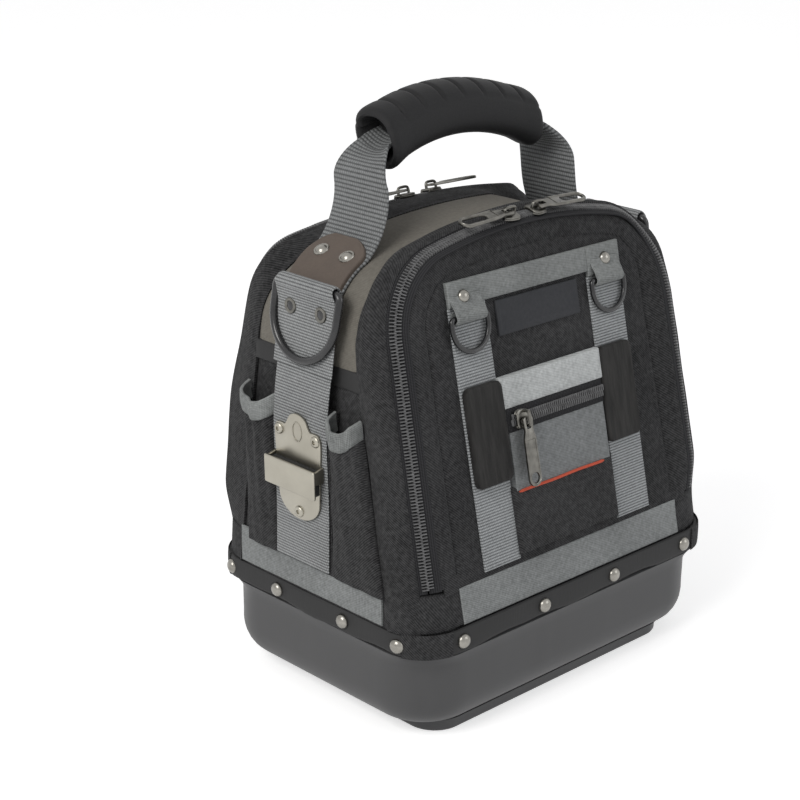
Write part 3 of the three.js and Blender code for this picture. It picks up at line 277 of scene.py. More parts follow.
def grid_faces(rows, cols, around=False, back_to_start=False):
    """Quads of a grid of points, its columns closed into a ring where around is set."""
    i = np.arange(rows if back_to_start else rows - 1)
    j = np.arange(cols if around else cols - 1)
    a, b = np.meshgrid(i, j, indexing="ij")
    c = (b + 1) % cols
    d = (a + 1) % rows
    return np.stack([a * cols + b, a * cols + c, d * cols + c, d * cols + b], -1).reshape(-1, 4)


def along_lengths(grid):
    """For each point of a grid, how far it lies along its row and along its column."""
    across = np.zeros(grid.shape[:2])
    down = np.zeros(grid.shape[:2])
    across[:, 1:] = np.cumsum(np.linalg.norm(np.diff(grid, axis=1), axis=-1), 1)
    down[1:] = np.cumsum(np.linalg.norm(np.diff(grid, axis=0), axis=-1), 0)
    return np.stack([across, down], -1)


def add_piece(name, part, finish, body, stands_for=(), sharp=38):
    """Makes a mesh of a part, which is its points in millimetres, its faces and its places on the
    cloth map, and has it ride. A part whose places are None gets no cloth map."""
    points, faces, places = part
    mesh = bpy.data.meshes.new(name)
    mesh.from_pydata((np.asarray(points) * 0.001).tolist(), [], [list(f) for f in faces])
    if places is not None:
        corners = np.empty(len(mesh.loops), np.int32)
        mesh.loops.foreach_get("vertex_index", corners)
        layer = mesh.uv_layers.new(name="cloth")
        layer.data.foreach_set("uv", (np.asarray(places)[corners] * 0.001).ravel())
    shape = bmesh.new()
    shape.from_mesh(mesh)
    bmesh.ops.remove_doubles(shape, verts=shape.verts, dist=1e-6)
    bmesh.ops.recalc_face_normals(shape, faces=shape.faces)
    shape.to_mesh(mesh)
    shape.free()
    mesh.shade_smooth()
    mesh.set_sharp_from_angle(angle=math.radians(sharp))
    mesh.materials.append(finish.material)
    piece = bpy.data.objects.new(name, mesh)
    bpy.context.scene.collection.objects.link(piece)
    if body:
        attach(piece, body)
    if stands_for:
        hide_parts(*stands_for)
    return piece


def join_parts(parts):
    """Several (points, faces, places) as one."""
    points, faces, places, start = [], [], [], 0
    for part_points, part_faces, part_places in parts:
        points.append(part_points)
        faces += [[start + k for k in face] for face in part_faces]
        places.append(part_places if part_places is not None else np.zeros((len(part_points), 2)))
        start += len(part_points)
    return np.concatenate(points), faces, np.concatenate(places)


def closed_loft(grid, capped=True):
    """A solid from rings of points: its quads, and a flat face at each end."""
    rows, cols = grid.shape[:2]
    faces = grid_faces(rows, cols, around=True).tolist()
    if capped:
        faces += [list(range(cols)), list(range((rows - 1) * cols, rows * cols))]
    return grid.reshape(-1, 3), faces, along_lengths(grid).reshape(-1, 2)


def closed_ring(grid):
    """A solid ring: the grid closes on itself along its rows and round its columns."""
    rows, cols = grid.shape[:2]
    faces = grid_faces(rows, cols, around=True, back_to_start=True).tolist()
    return grid.reshape(-1, 3), faces, along_lengths(grid).reshape(-1, 2)


def foot_ring(inset, z):
    return (foot_half[0] - inset, inset - foot_half[1], foot_half[1] - inset, foot_corner - inset, z)


def tub_ring(inset, z, flare=0.0):
    """The tub's outline at a height. It flares by a share of the way to the trim's outline."""
    half_x, half_y, corner = [a * (1 - flare) + b * flare
                              for a, b in zip((tub_half_x, tub_half_y, tub_corner), flare_top)]
    return (half_x - inset, inset - half_y, half_y - inset, max(corner - inset, 6), z)


foot_profile = [(2.2, 0), (0.8, 0.3), (0.1, 1.5), (0, 6.6), (-0.5, 7.7), (-2, 8.0)]
wall_inset = rim_inset + tub_wall
side_profile = [(0.1, 32), (0, 40), (0, 47), (0, 50, 0.2), (0, 52.5, 0.6), (0, 54.4, 1),
                (0.5, tub_top, 1), (rim_inset, tub_top, 1), (rim_inset, rim_top - 0.4, 1),
                (rim_inset + 0.5, rim_top, 1), (wall_inset, rim_top, 1), (wall_inset, 26),
                (wall_inset + 4, 16), (18, 11.5)]
tub_rings = [foot_ring(*row) for row in foot_profile]
for turn in np.radians([8, 20, 32, 44, 56, 68, 80, 90]):
    tub_rings.append(tub_ring(tub_edge * (1 - math.sin(turn)) + 0.6 * math.cos(turn),
                              foot_height + tub_edge_height * (1 - math.cos(turn))))
tub_rings += [tub_ring(*row) for row in side_profile]
tub_plastic = Finish("tub_plastic", {"Roughness": 0.42, "Specular IOR Level": 0.24})
grain = tub_plastic.noise(900, 2)
cloudy = tub_plastic.noise(9, 4)
scuffs = tub_plastic.noise(60, 5, (1, 1, 0.25))
tub_plastic.set({
    "Base Color": tub_plastic.mix(cloudy * 0.7 + scuffs * 0.3, tone(70, 70, 71), tone(92, 92, 93)),
    "Roughness": 0.36 + cloudy * 0.22,
    "Normal": tub_plastic.bump(grain, 0.08, 0.5),
})
add_piece("tub", closed_loft(stacked(tub_rings)), tub_plastic, "bag", ["base_tub"], sharp=50)

# Trim: a strip of smooth black tape, folded and riveted over the joint of tub and cloth. Its
# lower edge is a little wavy between the rivets.
trim_half_x = 125.0
trim_half_y = 88.25
trim_corner = 28.0
trim_low = 55.0
trim_high = 69.0
trim_thick = 2.7


def squared(wave, power):
    """A sine or cosine made squarer: its size to a power below 1, with its sign kept."""
    return np.sign(wave) * np.abs(wave) ** power


loop_points, loop_out = rounded_loop(trim_half_x, -trim_half_y, trim_half_y, trim_corner)
loop_run = np.cumsum(np.r_[0, np.linalg.norm(np.diff(loop_points, axis=0), axis=1)])
around = np.linspace(0, 2 * np.pi, 21)[:-1]
trim_out = trim_thick / 2 * (squared(np.cos(around), 0.35) - 1)
trim_up = squared(np.sin(around), 0.45)
wave = 0.8 * np.sin(loop_run / 15) + 0.5 * np.sin(loop_run / 6.3 + 1) + 1.1
low_edge = trim_low + np.clip(wave, 0, 2.6)[:, None]
middle = (trim_high + low_edge) / 2
trim_z = middle + trim_up[None] * (trim_high - low_edge) / 2
puff = 0.35 * np.sin(loop_run / 11 + 2)[:, None] * np.clip(np.cos(around), 0, 1)[None]
trim_xy = loop_points[:, None] + loop_out[:, None] * (trim_out[None] + puff)[..., None]
part = closed_ring(np.concatenate([trim_xy, trim_z[..., None]], -1))
trim_tape = Finish("trim_tape", {"Roughness": 0.5, "Specular IOR Level": 0.16})
ribs = trim_tape.noise(700, 2, (1, 1, 0.2))
patchy = trim_tape.noise(14, 4)
trim_tape.set({
    "Base Color": trim_tape.mix(patchy, tone(44, 44, 45), tone(62, 62, 62)),
    "Roughness": 0.45 + patchy * 0.25,
    "Normal": trim_tape.bump(ribs * 0.6 + patchy * 0.4, 0.35, 0.6),
})
add_piece("trim", part, trim_tape, "bag", ["base_trim"])

# Rivets: domed caps of satin nickel, four along each side of the trim.
rivet_radius = 4.2
rivet_z = 62.2


def turned_shape(profile, steps=22):
    """A round piece about its own Z: each (radius, height) of the profile becomes a ring."""
    angle = np.linspace(0, 2 * np.pi, steps, endpoint=False)
    radius, height = np.array(profile, float).T
    ring = np.stack([np.cos(angle), np.sin(angle)], -1)
    grid = np.concatenate([radius[:, None, None] * ring,
                           np.repeat(height[:, None, None], steps, 1)], -1)
    return closed_loft(grid)


def placed(part, origins, bases):
    """Copies of a part: point p of copy k goes to origin k + p.x * right + p.y * up + p.z * out."""
    points, faces, places = part
    every = np.einsum("ka,nab->nkb", points, bases) + origins[:, None]
    shift = np.arange(len(origins)) * len(points)
    many = [[s + k for k in face] for s in shift.tolist() for face in faces]
    return every.reshape(-1, 3), many, np.tile(places, (len(origins), 1))


def placed_once(part, origin, base):
    """One copy of a part at an origin, turned to a base of its right, up and out directions."""
    return placed(part, np.array([origin]), np.array([base]))


def frames_from(out, up):
    """Right, up and out directions for each out, with up kept as near as it can be."""
    out = np.asarray(out, float)
    out = out / np.linalg.norm(out, axis=-1, keepdims=True)
    right = np.cross(np.broadcast_to(up, out.shape), out)
    right = right / np.linalg.norm(right, axis=-1, keepdims=True)
    return np.stack([right, np.cross(out, right), out], -2)


dome = [(rivet_radius, -0.3), (rivet_radius, 0.4), (3.95, 1.1), (3.35, 1.85), (2.45, 2.45),
        (1.3, 2.85), (0.3, 2.95)]
rivet_xs = [-93.4, -29.5, 29.5, 93.4]
rivet_ys = [-68.7, -27.2, 27.2, 68.7]
origins = []
outs = []
for side in (-1, 1):
    for x in rivet_xs:
        origins.append((x, side * (trim_half_y + 0.1), rivet_z))
        outs.append((0, side, 0))
    for y in rivet_ys:
        past = max(0, abs(y) - (trim_half_y - trim_corner)) / trim_corner
        lean = math.asin(past)
        origins.append((side * (trim_half_x + 0.1 - trim_corner * (1 - math.cos(lean))), y, rivet_z))
        outs.append((side * math.cos(lean), math.copysign(math.sin(lean), y), 0))
nickel = Finish("nickel", {"Metallic": 1.0, "Roughness": 0.22})
worn = nickel.noise(220, 4)
nickel.set({"Base Color": nickel.mix(worn, tone(104, 102, 97), tone(168, 165, 158)),
            "Roughness": 0.18 + worn * 0.2, "Normal": nickel.bump(worn, 0.05, 0.3)})
part = placed(turned_shape(dome), np.array(origins), frames_from(outs, (0, 0, 1)))
add_piece("trim_rivets", part, nickel, "bag",
          [f"base_rivet_{i:02d}" for i in range(1, 17)])

# Cloth walls: black coarse nylon above the trim, with a band of grey canvas across the front and
# the back and a shorter one on each end. The corners keep the black cloth, down over the trim.
fold_z = 90.0
body_half = 124.3
body_taper = 0.04
roll_start = 84.0
roll_width = 22.0
roll_aside = 4.4
roll_out = 4.6
shoulder_lift = 9.0


def ease(share):
    """A smooth step: 3 s^2 - 2 s^3 of a share kept between 0 and 1."""
    share = np.clip(share, 0, 1)
    return share * share * (3 - 2 * share)


class Face:
    """The bag's front or back. A point is x across, v up along the cloth from the fold line and
    w out of it. The cloth leans by an angle, and from curve_start on it bends on a circle. Its
    side edges stand out as a soft roll, along which the zip runs. The back's left shoulder
    stands a little higher and its right one a little lower, as worn cloth does."""

    def __init__(self, side, fold_y, lean, curve_start, curve_radius):
        self.side = side
        self.fold_y = fold_y
        self.lean = lean
        self.curve_start = curve_start
        self.curve_radius = curve_radius

    def angle(self, v):
        return self.lean + np.maximum(0, v - self.curve_start) / self.curve_radius

    def at(self, x, v, w=0.0):
        x, v, w = np.broadcast_arrays(x, v, w)
        fade = ease((v - 118) / 55) if self.side < 0 else ease((v - 72) / 55)
        roll = ease((np.abs(x) - roll_start) / roll_width) * ease((v + 12) / 35) * (1 - fade)
        if self.side > 0:
            lift = (ease((-x - 74) / 26) - ease((x - 74) / 26)) * np.exp(-((v - 150) / 32) ** 2)
            v = v + shoulder_lift * lift
            x = x + 0.15 * shoulder_lift * np.sign(x) * lift
        x = x + np.sign(x) * roll_aside * roll
        w = w + roll_out * roll
        straight = np.minimum(v, self.curve_start)
        bent = self.angle(v)
        inward = (straight * np.sin(self.lean) - w * np.cos(bent)
                  + self.curve_radius * (np.cos(self.lean) - np.cos(bent)))
        height = (fold_z + straight * np.cos(self.lean) + w * np.sin(bent)
                  + self.curve_radius * (np.sin(bent) - np.sin(self.lean)))
        return np.stack([x, self.side * (self.fold_y - inward), height], -1)

    def y_at(self, z, depth):
        z = np.asarray(z, float)
        straight_top = fold_z + self.curve_start * math.cos(self.lean)
        rise = math.sin(self.lean) + np.maximum(0, z - straight_top) / self.curve_radius
        low = (np.minimum(z, straight_top) - fold_z) * math.tan(self.lean)
        high = self.curve_radius * (math.cos(self.lean) - np.sqrt(1 - np.minimum(rise, 1) ** 2))
        return self.side * (self.fold_y - low - high - depth)


class End:
    """The bag's left or right end: a point is y across, z up and w out of the cloth."""

    def __init__(self, side):
        self.side = side

    def at(self, y, z, w=0.0):
        y, z, w = np.broadcast_arrays(y, z, w)
        x = body_half - body_taper * np.maximum(0, z - fold_z) + w
        return np.stack([self.side * x, y, z], -1)


front = Face(-1, 80.2, math.radians(13), 1e3, 1e3)
back = Face(1, 84.0, math.radians(4.5), 115.0, 110.0)
front_and_back = (("front", front), ("back", back))
ends = {"left": End(-1), "right": End(1)}


def grid_lines(low, high, step, edge):
    """Places from low to high, closer together within edge of each end."""
    near = np.array([0, 0.12, 0.35, 0.65, 1.0]) * edge
    count = max(2, math.ceil((high - low - 2 * edge) / step) + 1)
    inner = np.linspace(low + edge, high - edge, count)
    return np.concatenate([low + near[:-1], inner, high - near[:-1][::-1]])


def skin(outer, inner, places):
    """A closed sheet of cloth: an outer and an inner grid joined round their rim."""
    rows, cols = outer.shape[:2]
    count = rows * cols
    flat = grid_faces(rows, cols)
    index = np.arange(count).reshape(rows, cols)
    rim = np.concatenate([index[0, :-1], index[:-1, -1], index[-1, :0:-1], index[:0:-1, 0]])
    nxt = np.roll(rim, -1)
    sides = np.stack([rim, nxt, nxt + count, rim + count], -1)
    faces = np.concatenate([flat, flat[:, ::-1] + count, sides]).tolist()
    uv = places.reshape(-1, 2)
    return np.concatenate([outer.reshape(-1, 3), inner.reshape(-1, 3)]), faces, np.concatenate([uv, uv])


def rounded_edge(distance, edge):
    """0.2 at a cloth's edge, rising on a quarter circle to 1 at a distance of edge."""
    share = np.clip(distance / edge, 0, 1)
    return 0.2 + 0.8 * np.sqrt(1 - (1 - share) ** 2)


def from_rim(u, v, u_span, v_span):
    """How far a point lies from the nearest edge of the patch that the two spans bound."""
    beside = np.minimum(u - u_span[0], u_span[1] - u)
    return np.minimum(beside, np.minimum(v - v_span[0], v_span[1] - v))


def patch(surface, u_span, v_span, low, high, edge=0.8, step=4.0, relief=None):
    """A sewn-on piece: it stands from low to high off a surface, with rounded edges. Relief is
    added to its outside, and fades at the edges."""
    u, v = np.meshgrid(grid_lines(*u_span, step, edge), grid_lines(*v_span, step, edge))
    distance = from_rim(u, v, u_span, v_span)
    rise = (high - low) * rounded_edge(distance, edge)
    if relief is not None:
        rise = rise + relief(u, v) * np.clip(distance / 4, 0, 1)
    return skin(surface.at(u, v, low + rise), surface.at(u, v, low), np.stack([u, v], -1))


def creases(seed, scale, height=1.0):
    """A smooth random relief: the mean of sine waves of seeded direction, length and phase."""
    count = 7
    rng = np.random.default_rng(seed)
    angle = rng.uniform(0, np.pi, count)
    wave_length = scale * rng.uniform(0.6, 1.8, count)
    phase = rng.uniform(0, 2 * np.pi, count)

    def relief(u, v):
        total = 0
        for a, s, p in zip(angle, wave_length, phase):
            total = total + np.sin((u * math.cos(a) + v * math.sin(a)) * 2 * np.pi / s + p)
        return height * (total / count)

    return relief


def cloth_places(finish):
    """The two directions of a piece's cloth map, in millimetres."""
    uv = finish.node("UVMap", {"uv_map": "cloth"})
    split = finish.node("SeparateXYZ", None, {0: uv})
    return split * 1000, Value(finish, split.socket.node.outputs[1]) * 1000


def thread(value, pitch):
    """The round top of threads that lie side by side: |sin(pi * value / pitch)|."""
    return (value * (math.pi / pitch)).math("SINE").math("ABSOLUTE")


def cordura(name, dark, light, pitch=1.15):
    """Coarse nylon: a plain weave that shows as diagonal rows, with a slight sheen."""
    finish = Finish(name, {"Roughness": 0.78, "Specular IOR Level": 0.07, "Sheen Weight": 0.04,
                           "Sheen Roughness": 0.5})
    u, v = cloth_places(finish)
    rows = thread(u + v, pitch * 1.42)
    crossing = thread(u - v, pitch * 0.85)
    uneven = finish.noise(420, 3)
    faded = finish.noise(16, 4)
    height = rows * 0.4 + crossing * 0.3 + uneven * 0.9 - 0.3
    finish.set({
        "Base Color": finish.mix(height.math("POWER", 1.6) * 0.85 + (faded - 0.5) * 0.5, dark, light),
        "Normal": finish.bump(height, 0.5, 0.8),
    })
    return finish


def canvas(name, dark, light, pitch=0.9):
    """Finer plain-woven cloth: warp and weft in a checker of over and under."""
    finish = Finish(name, {"Roughness": 0.85, "Specular IOR Level": 0.07, "Sheen Weight": 0.05,
                           "Sheen Roughness": 0.5})
    u, v = cloth_places(finish)
    height = thread(u, pitch) * 0.5 + thread(v + u * 0.12, pitch * 0.9) * 0.5
    uneven = finish.noise(500, 3)
    faded = finish.noise(22, 4)
    finish.set({
        "Base Color": finish.mix(height * 0.45 + uneven * 0.55 + (faded - 0.5) * 0.35, dark, light),
        "Normal": finish.bump(height * 0.6 + uneven * 0.4, 0.3, 0.7),
    })
    return finish


black_cordura = cordura("black_cordura", tone(19, 19, 20), tone(88, 88, 89))
grey_canvas = canvas("grey_canvas", tone(40, 42, 42), tone(172, 175, 175), 1.1)

wall_section = [(2.7, 66.6), (2.7, 69.3), (0.3, 69.6), (0, 72), (0, 80), (0, 88.9), (0.5, 89.6),
                (3.4, 89.6), (3.8, 88.8), (5.5, 72), (5.5, 66.6)]
wall_rings = []
for inset, z in wall_section:
    y0 = float(front.y_at(z, inset))
    y1 = float(back.y_at(z, inset))
    wall_rings.append((body_half - inset, y0, y1, 26 - inset, z))
part = closed_ring(np.swapaxes(stacked(wall_rings), 0, 1))
add_piece("cloth_wall", part, black_cordura, "bag")

band_span = (-90, 91.5)
band_rise = (-21.2, -1.0)
end_band_span = (-58.5, 58)
end_band_rise = (70.5, 92.0)
band_parts = [patch(face, band_span, band_rise, 0.05, 0.85, relief=creases(3, 60, 0.45))
              for face in (front, back)]
band_parts += [patch(end, end_band_span, end_band_rise, 0.05, 1.3, relief=creases(5, 45))
               for end in ends.values()]
add_piece("lower_bands", join_parts(band_parts), grey_canvas, "bag")

# Corner pieces: the black cloth of each corner laps over the trim between its two rivets.
lap_turn = np.linspace(0.25, 0.9, 15) * np.pi / 2
lap_height = np.array([55.6, 56.0, 58, 62, 66, 69, 69.8])
lap_swell = np.array([0.15, 0.6, 0.8, 0.85, 0.8, 0.6, 0.2])
lap_gap = 0.05


def lap_grid(sx, sy, swell):
    """An arc at each height round a corner of the trim, larger than its radius by a swell."""
    centre = np.array([sx * (trim_half_x - trim_corner), sy * (trim_half_y - trim_corner)])
    out = np.stack([sx * np.cos(lap_turn), sy * np.sin(lap_turn)], -1)
    swell, height = np.broadcast_arrays(swell, lap_height)
    flat = centre + out * (trim_corner + swell[:, None, None])
    return np.concatenate([flat, height[:, None, None].repeat(len(lap_turn), 1)], -1)


lap_places = np.stack(np.meshgrid(lap_turn * trim_corner, lap_height), -1)
corner_parts = [skin(lap_grid(sx, sy, lap_swell), lap_grid(sx, sy, lap_gap), lap_places)
                for sx in (-1, 1) for sy in (-1, 1)]
add_piece("corner_laps", join_parts(corner_parts), black_cordura, "bag")

# Zips: a heavy coil zip runs round each face in an arch. The tapes are ribbed, and the teeth of
# the two sides alternate. The outer tape is sewn to the gusset and the inner one to the door.
zip_setback = 4.0
zip_side_tilt = math.radians(33)
zip_top_rise = math.radians(75)
zip_line = {"half": 108.0, "taper": 0.025, "shoulder": 44.0, "crown": 340.0, "top": 184.5}
zip_bottom = 1.5
tape_edge = 7.3
tooth_pitch = 1.75


class Arch:
    """Straight tapering sides, round shoulders and a shallow crown. Stage 0 to 1 goes up the
    right side, 1 to 2 round its shoulder, 2 to 4 over the crown, and 4 to 6 down the left."""

    def __init__(self, half, taper, shoulder, crown, top, bottom):
        slant = math.hypot(1, taper)
        a = half - shoulder / slant
        b = taper * shoulder / slant + top - crown
        c = crown - shoulder
        mid = a * taper + b
        root = math.sqrt(mid * mid - slant * slant * (a * a + b * b - c * c))
        self.line_top = (mid + root) / slant ** 2
        self.half, self.taper, self.shoulder, self.crown = half, taper, shoulder, crown
        self.low, self.bottom = top - crown, bottom
        self.centre = (half - taper * self.line_top - shoulder / slant,
                       self.line_top - taper * shoulder / slant)
        self.line_angle = math.atan(taper)
        self.crown_angle = math.pi / 2 - math.atan2(self.centre[0], self.centre[1] - self.low)
        side = (self.line_top - bottom) * slant
        bend = shoulder * (self.crown_angle - self.line_angle)
        flat = crown * (math.pi / 2 - self.crown_angle)
        self.runs = np.cumsum([0, side, bend, 2 * flat, bend, side])

    def at(self, stage):
        """x, v and the inward normal: half - taper * v on the side, and on the bends the
        centre plus the radius times the cosine and sine of the angle from the X axis."""
        stage = np.asarray(stage, float)
        left = np.where(stage > 3, -1.0, 1.0)
        t = np.minimum(stage, 6 - stage)
        angle = (self.line_angle + (self.crown_angle - self.line_angle) * np.clip(t - 1, 0, 1)
                 + (np.pi / 2 - self.crown_angle) * np.clip(t - 2, 0, 1))
        side_v = self.bottom + (self.line_top - self.bottom) * t
        radius = np.where(t < 2, self.shoulder, self.crown)
        middle_x = np.where(t < 2, self.centre[0], 0)
        middle_v = np.where(t < 2, self.centre[1], self.low)
        x = np.where(t < 1, self.half - self.taper * side_v, middle_x + radius * np.cos(angle))
        v = np.where(t < 1, side_v, middle_v + radius * np.sin(angle))
        return left * x, v, -left * np.cos(angle), -np.sin(angle)

    def stages(self, step, start=0.0, stop=6.0):
        """Stages about a step of path length apart."""
        ends = np.interp([start, stop], [0, 1, 2, 4, 5, 6], self.runs)
        count = int(round((ends[1] - ends[0]) / step)) + 1
        return self.stage_at(np.linspace(*ends, count))

    def stage_at(self, run):
        return np.interp(run, self.runs, [0, 1, 2, 4, 5, 6])

    def run_at(self, stage):
        return np.interp(stage, [0, 1, 2, 4, 5, 6], self.runs)


def zip_tilt(face, v, nv):
    """How far the zip turns out of the face: from the side's tilt to the top's, by nv squared."""
    top_tilt = zip_top_rise - face.angle(v)
    return zip_side_tilt + (top_tilt - zip_side_tilt) * nv * nv


def beside_zip(face, arch, stage, across, out=0.0):
    """A point off the zip line, turned by the zip's tilt: across * cos - out * sin inwards in the
    face, and across * sin + out * cos out of it."""
    x, v, nx, nv = arch.at(stage)
    tilt = zip_tilt(face, v, nv)
    inward = across * np.cos(tilt) - out * np.sin(tilt)
    rise = across * np.sin(tilt) + out * np.cos(tilt)
    return face.at(x + nx * inward, v + nv * inward, rise - zip_setback)


zip_arch = Arch(**zip_line, bottom=zip_bottom)


def zip_tape(face, side):
    """A flat tape beside the zip line: its rounded section carried along the arch."""
    stage = zip_arch.stages(3.0)
    section = np.array([(0.5, -1.1), (0.5, -0.3), (0.9, -0.15), (3.6, -0.1), (tape_edge - 0.5, -0.1),
                        (tape_edge, -0.3), (tape_edge, -1.0), (tape_edge - 0.4, -1.2), (0.9, -1.2)])
    grid = beside_zip(face, zip_arch, stage[:, None], side * section[:, 0], section[:, 1])
    points, faces, _ = closed_loft(grid)
    uv = np.stack(np.broadcast_arrays(section[:, 0], zip_arch.run_at(stage)[:, None]), -1)
    return points, faces, uv.reshape(-1, 2)


def zip_frame(face, stage):
    """The zip's own frame: its place, its way inwards across the tape and its way out of it."""
    origin = beside_zip(face, zip_arch, stage, 0.0)
    across_way = beside_zip(face, zip_arch, stage, 1.0) - origin
    return origin, across_way, beside_zip(face, zip_arch, stage, 0.0, 1.0) - origin


def tooth_shape(across, half, top, outline):
    """A tooth: its outline at each place across the zip, scaled to a half width and a height."""
    across, half, top = (np.array(line)[:, None] for line in (across, half, top))
    x, z = np.array(outline).T
    return closed_loft(np.stack(np.broadcast_arrays(half * x, across, top * z), -1))


def zip_teeth(face, side):
    """One rounded tooth, copied along the arch in the zip's own frame."""
    tooth = tooth_shape((3.3, 3.1, 1.2, 0.5, -0.35, -0.55), (0.25, 0.42, 0.4, 0.52, 0.52, 0.3),
                        (0.3, 1.0, 1.15, 1.2, 1.15, 0.7),
                        ((-1, -0.9), (-1, 0.45), (-0.55, 1), (0.55, 1), (1, 0.45), (1, -0.9)))
    count = int(zip_arch.runs[-1] / tooth_pitch) - 1
    stage = zip_arch.stage_at((np.arange(count) + (0.5 if side > 0 else 1.0)) * tooth_pitch)
    origin, across_way, out_way = zip_frame(face, stage)
    bases = np.stack([np.cross(across_way, out_way), across_way * side, out_way], 1)
    points, faces, _ = placed(tooth, origin, bases)
    return points, faces, None


zip_cloth = Finish("zip_cloth", {"Roughness": 0.8, "Specular IOR Level": 0.08})
u, v = cloth_places(zip_cloth)
lines = thread(u, 1.25) * 0.5 + thread(v, 0.8) * 0.5
zip_cloth.set({"Base Color": zip_cloth.mix(lines, tone(22, 22, 23), tone(64, 64, 66)),
               "Normal": zip_cloth.bump(lines, 0.35, 0.8)})
# The black plastic teeth are lightened to a pale grey in random patches: a painted highlight.
tooth_plastic = Finish("tooth_plastic", {"Specular IOR Level": 0.3})
painted_highlight_patches = tooth_plastic.noise(350, 3)
tooth_plastic.set({"Base Color": tooth_plastic.mix(painted_highlight_patches, tone(48, 48, 49), tone(132, 132, 133)),
                   "Roughness": 0.3 + painted_highlight_patches * 0.25})
for label, face in front_and_back:
    halves = ((-1, f"{label}_zip_fixed", "bag"), (1, f"{label}_door_zip", f"{label}_door"))
    for side, node, body in halves:
        add_piece(f"{node}_tape", zip_tape(face, side), zip_cloth, body, [node])
        add_piece(f"{node}_teeth", zip_teeth(face, side), tooth_plastic, body)

# Gusset: taupe cloth over the top and down to the pockets, black cloth below. A black strip
# turns round each corner from the zip, sewn down along the zip and along its rear edge.
strip_bottom = -20.4
strip_low = 204.0
shoulder_slump = 12.0
rear_depths = {-1: [22.5, 20.5, 21.0, 17.5, 15.5, 17, 20], 1: [27, 28, 28.5, 29, 29, 30, 31]}
shell_line = {"shoulder": 40.0, "crown": 356.0, "top": 177.0}
shell_arch = Arch(body_half, body_taper, **shell_line, bottom=strip_bottom)
strip_arch = Arch(**zip_line, bottom=strip_bottom)


def grid_normals(grid):
    """Unit normals of a grid: the cross product of its two directions, turned to face away from
    the middle of the bag."""
    normal = np.cross(np.gradient(grid, axis=0), np.gradient(grid, axis=1))
    normal /= np.maximum(np.linalg.norm(normal, axis=-1, keepdims=True), 1e-9)
    outward = grid - np.array([0, 0, 170.0])
    return normal if np.sum(normal * outward) > 0 else -normal


def thickened(grid, places, thick, rise=0.0):
    """A closed sheet from a grid: its outside raised by rise, its inside a thickness below."""
    normal = grid_normals(grid)
    outer = grid + normal * np.asarray(rise)[..., None]
    return skin(outer, grid - normal * thick, places)


def rear_edge(face, stage, z):
    """How far behind the face the corner strip ends: it narrows round the shoulder."""
    t = np.minimum(stage, 6 - stage)
    depth = np.interp(t, [0, 0.63, 0.9, 1.15, 1.5, 2.2, 3], rear_depths[face.side])
    return face.y_at(z, depth)


def gusset_at(stage, y, w=0.0):
    """A point of the gusset: the shell's arch at a stage, moved out along its normal."""
    x, v, nx, nv = shell_arch.at(stage)
    return np.stack(np.broadcast_arrays(x - nx * w, y, fold_z + v - nv * w), -1)


def slumped(points):
    """The right shoulder hangs: it sinks by up to a slump between the crown and the end, by
    smooth steps in x and z, and the more the further it lies from the front."""
    x, y, z = points[..., 0], points[..., 1], points[..., 2]
    share = ease((x - 30) / 45) * (1 - 0.8 * ease((x - 104) / 16)) * (0.3 + 0.7 * ease((y + 45) / 50))
    share = share * ease((z - 185) / 35) * (1 - ease((z - 262) / 25))
    return points - share[..., None] * np.array([shoulder_slump * 0.6, 0, shoulder_slump])


def gusset_skin(stage, low, high, rise, seed, edge_lap=2.2):
    """Cloth between the two corner strips: rows across it at each stage."""
    x, v, _, _ = shell_arch.at(stage)
    z = fold_z + v
    y0 = rear_edge(front, stage, z) - edge_lap
    y1 = rear_edge(back, stage, z) + edge_lap
    share = np.linspace(0, 1, 34)
    y = y0[:, None] * (1 - share) + y1[:, None] * share
    run = shell_arch.run_at(stage)[:, None] + 0 * y
    wave = creases(seed, 55)(run, y) * rise + 0.8 * np.sin(np.pi * share) * rise
    tucked = 1.3 * np.clip(1 - np.minimum(share, 1 - share) / 0.06, 0, 1)
    outer = gusset_at(stage[:, None], y, high + wave - tucked)
    inner = gusset_at(stage[:, None], y, low)
    return skin(slumped(outer), slumped(inner), np.stack([run, y], -1))


def corner_strip(face):
    """A curved strip: a quadratic curve from the zip's tape over the corner to the rear edge."""
    stage = strip_arch.stages(3.5)
    x, v, _, _ = shell_arch.at(stage)
    z = fold_z + v
    rear = slumped(np.stack([x, rear_edge(face, stage, z), z], -1))
    near = beside_zip(face, strip_arch, stage, -4.9, 0.25)
    seam = beside_zip(face, strip_arch, stage, -7.0, 1.2)
    along = np.gradient(rear, axis=0)
    out = np.cross(along, rear - seam)
    out /= np.linalg.norm(out, axis=-1, keepdims=True)
    out *= np.sign(np.sum(out * (rear - np.array([0, 0, 170.0])), -1, keepdims=True))
    shoulder = np.exp(-((np.minimum(stage, 6 - stage) - 1.2) / 0.6) ** 2)
    fuller = (1.5 if face.side > 0 else 6.5) + 2.0 * shoulder
    control = (seam + rear) / 2 + out * fuller[:, None]
    q = np.linspace(0, 1, 15)[:, None, None]
    curve = (1 - q) ** 2 * seam + 2 * q * (1 - q) * control + q * q * (rear + out * 0.6)
    grid = np.concatenate([near[None], curve], 0).swapaxes(0, 1)
    run = strip_arch.run_at(stage)[:, None] + np.zeros(16)
    across = along_lengths(grid)[..., 0]
    stitched = np.exp(-((across - 6.2) / 1.1) ** 2)
    stitched = stitched + np.exp(-((across[:, -1:] - across - 3) / 1.1) ** 2)
    rise = creases(9, 50)(run, across) * 0.5 - 0.45 * stitched
    return thickened(grid, np.stack([across, run], -1), 1.3, rise * np.clip(across / 3, 0, 1))


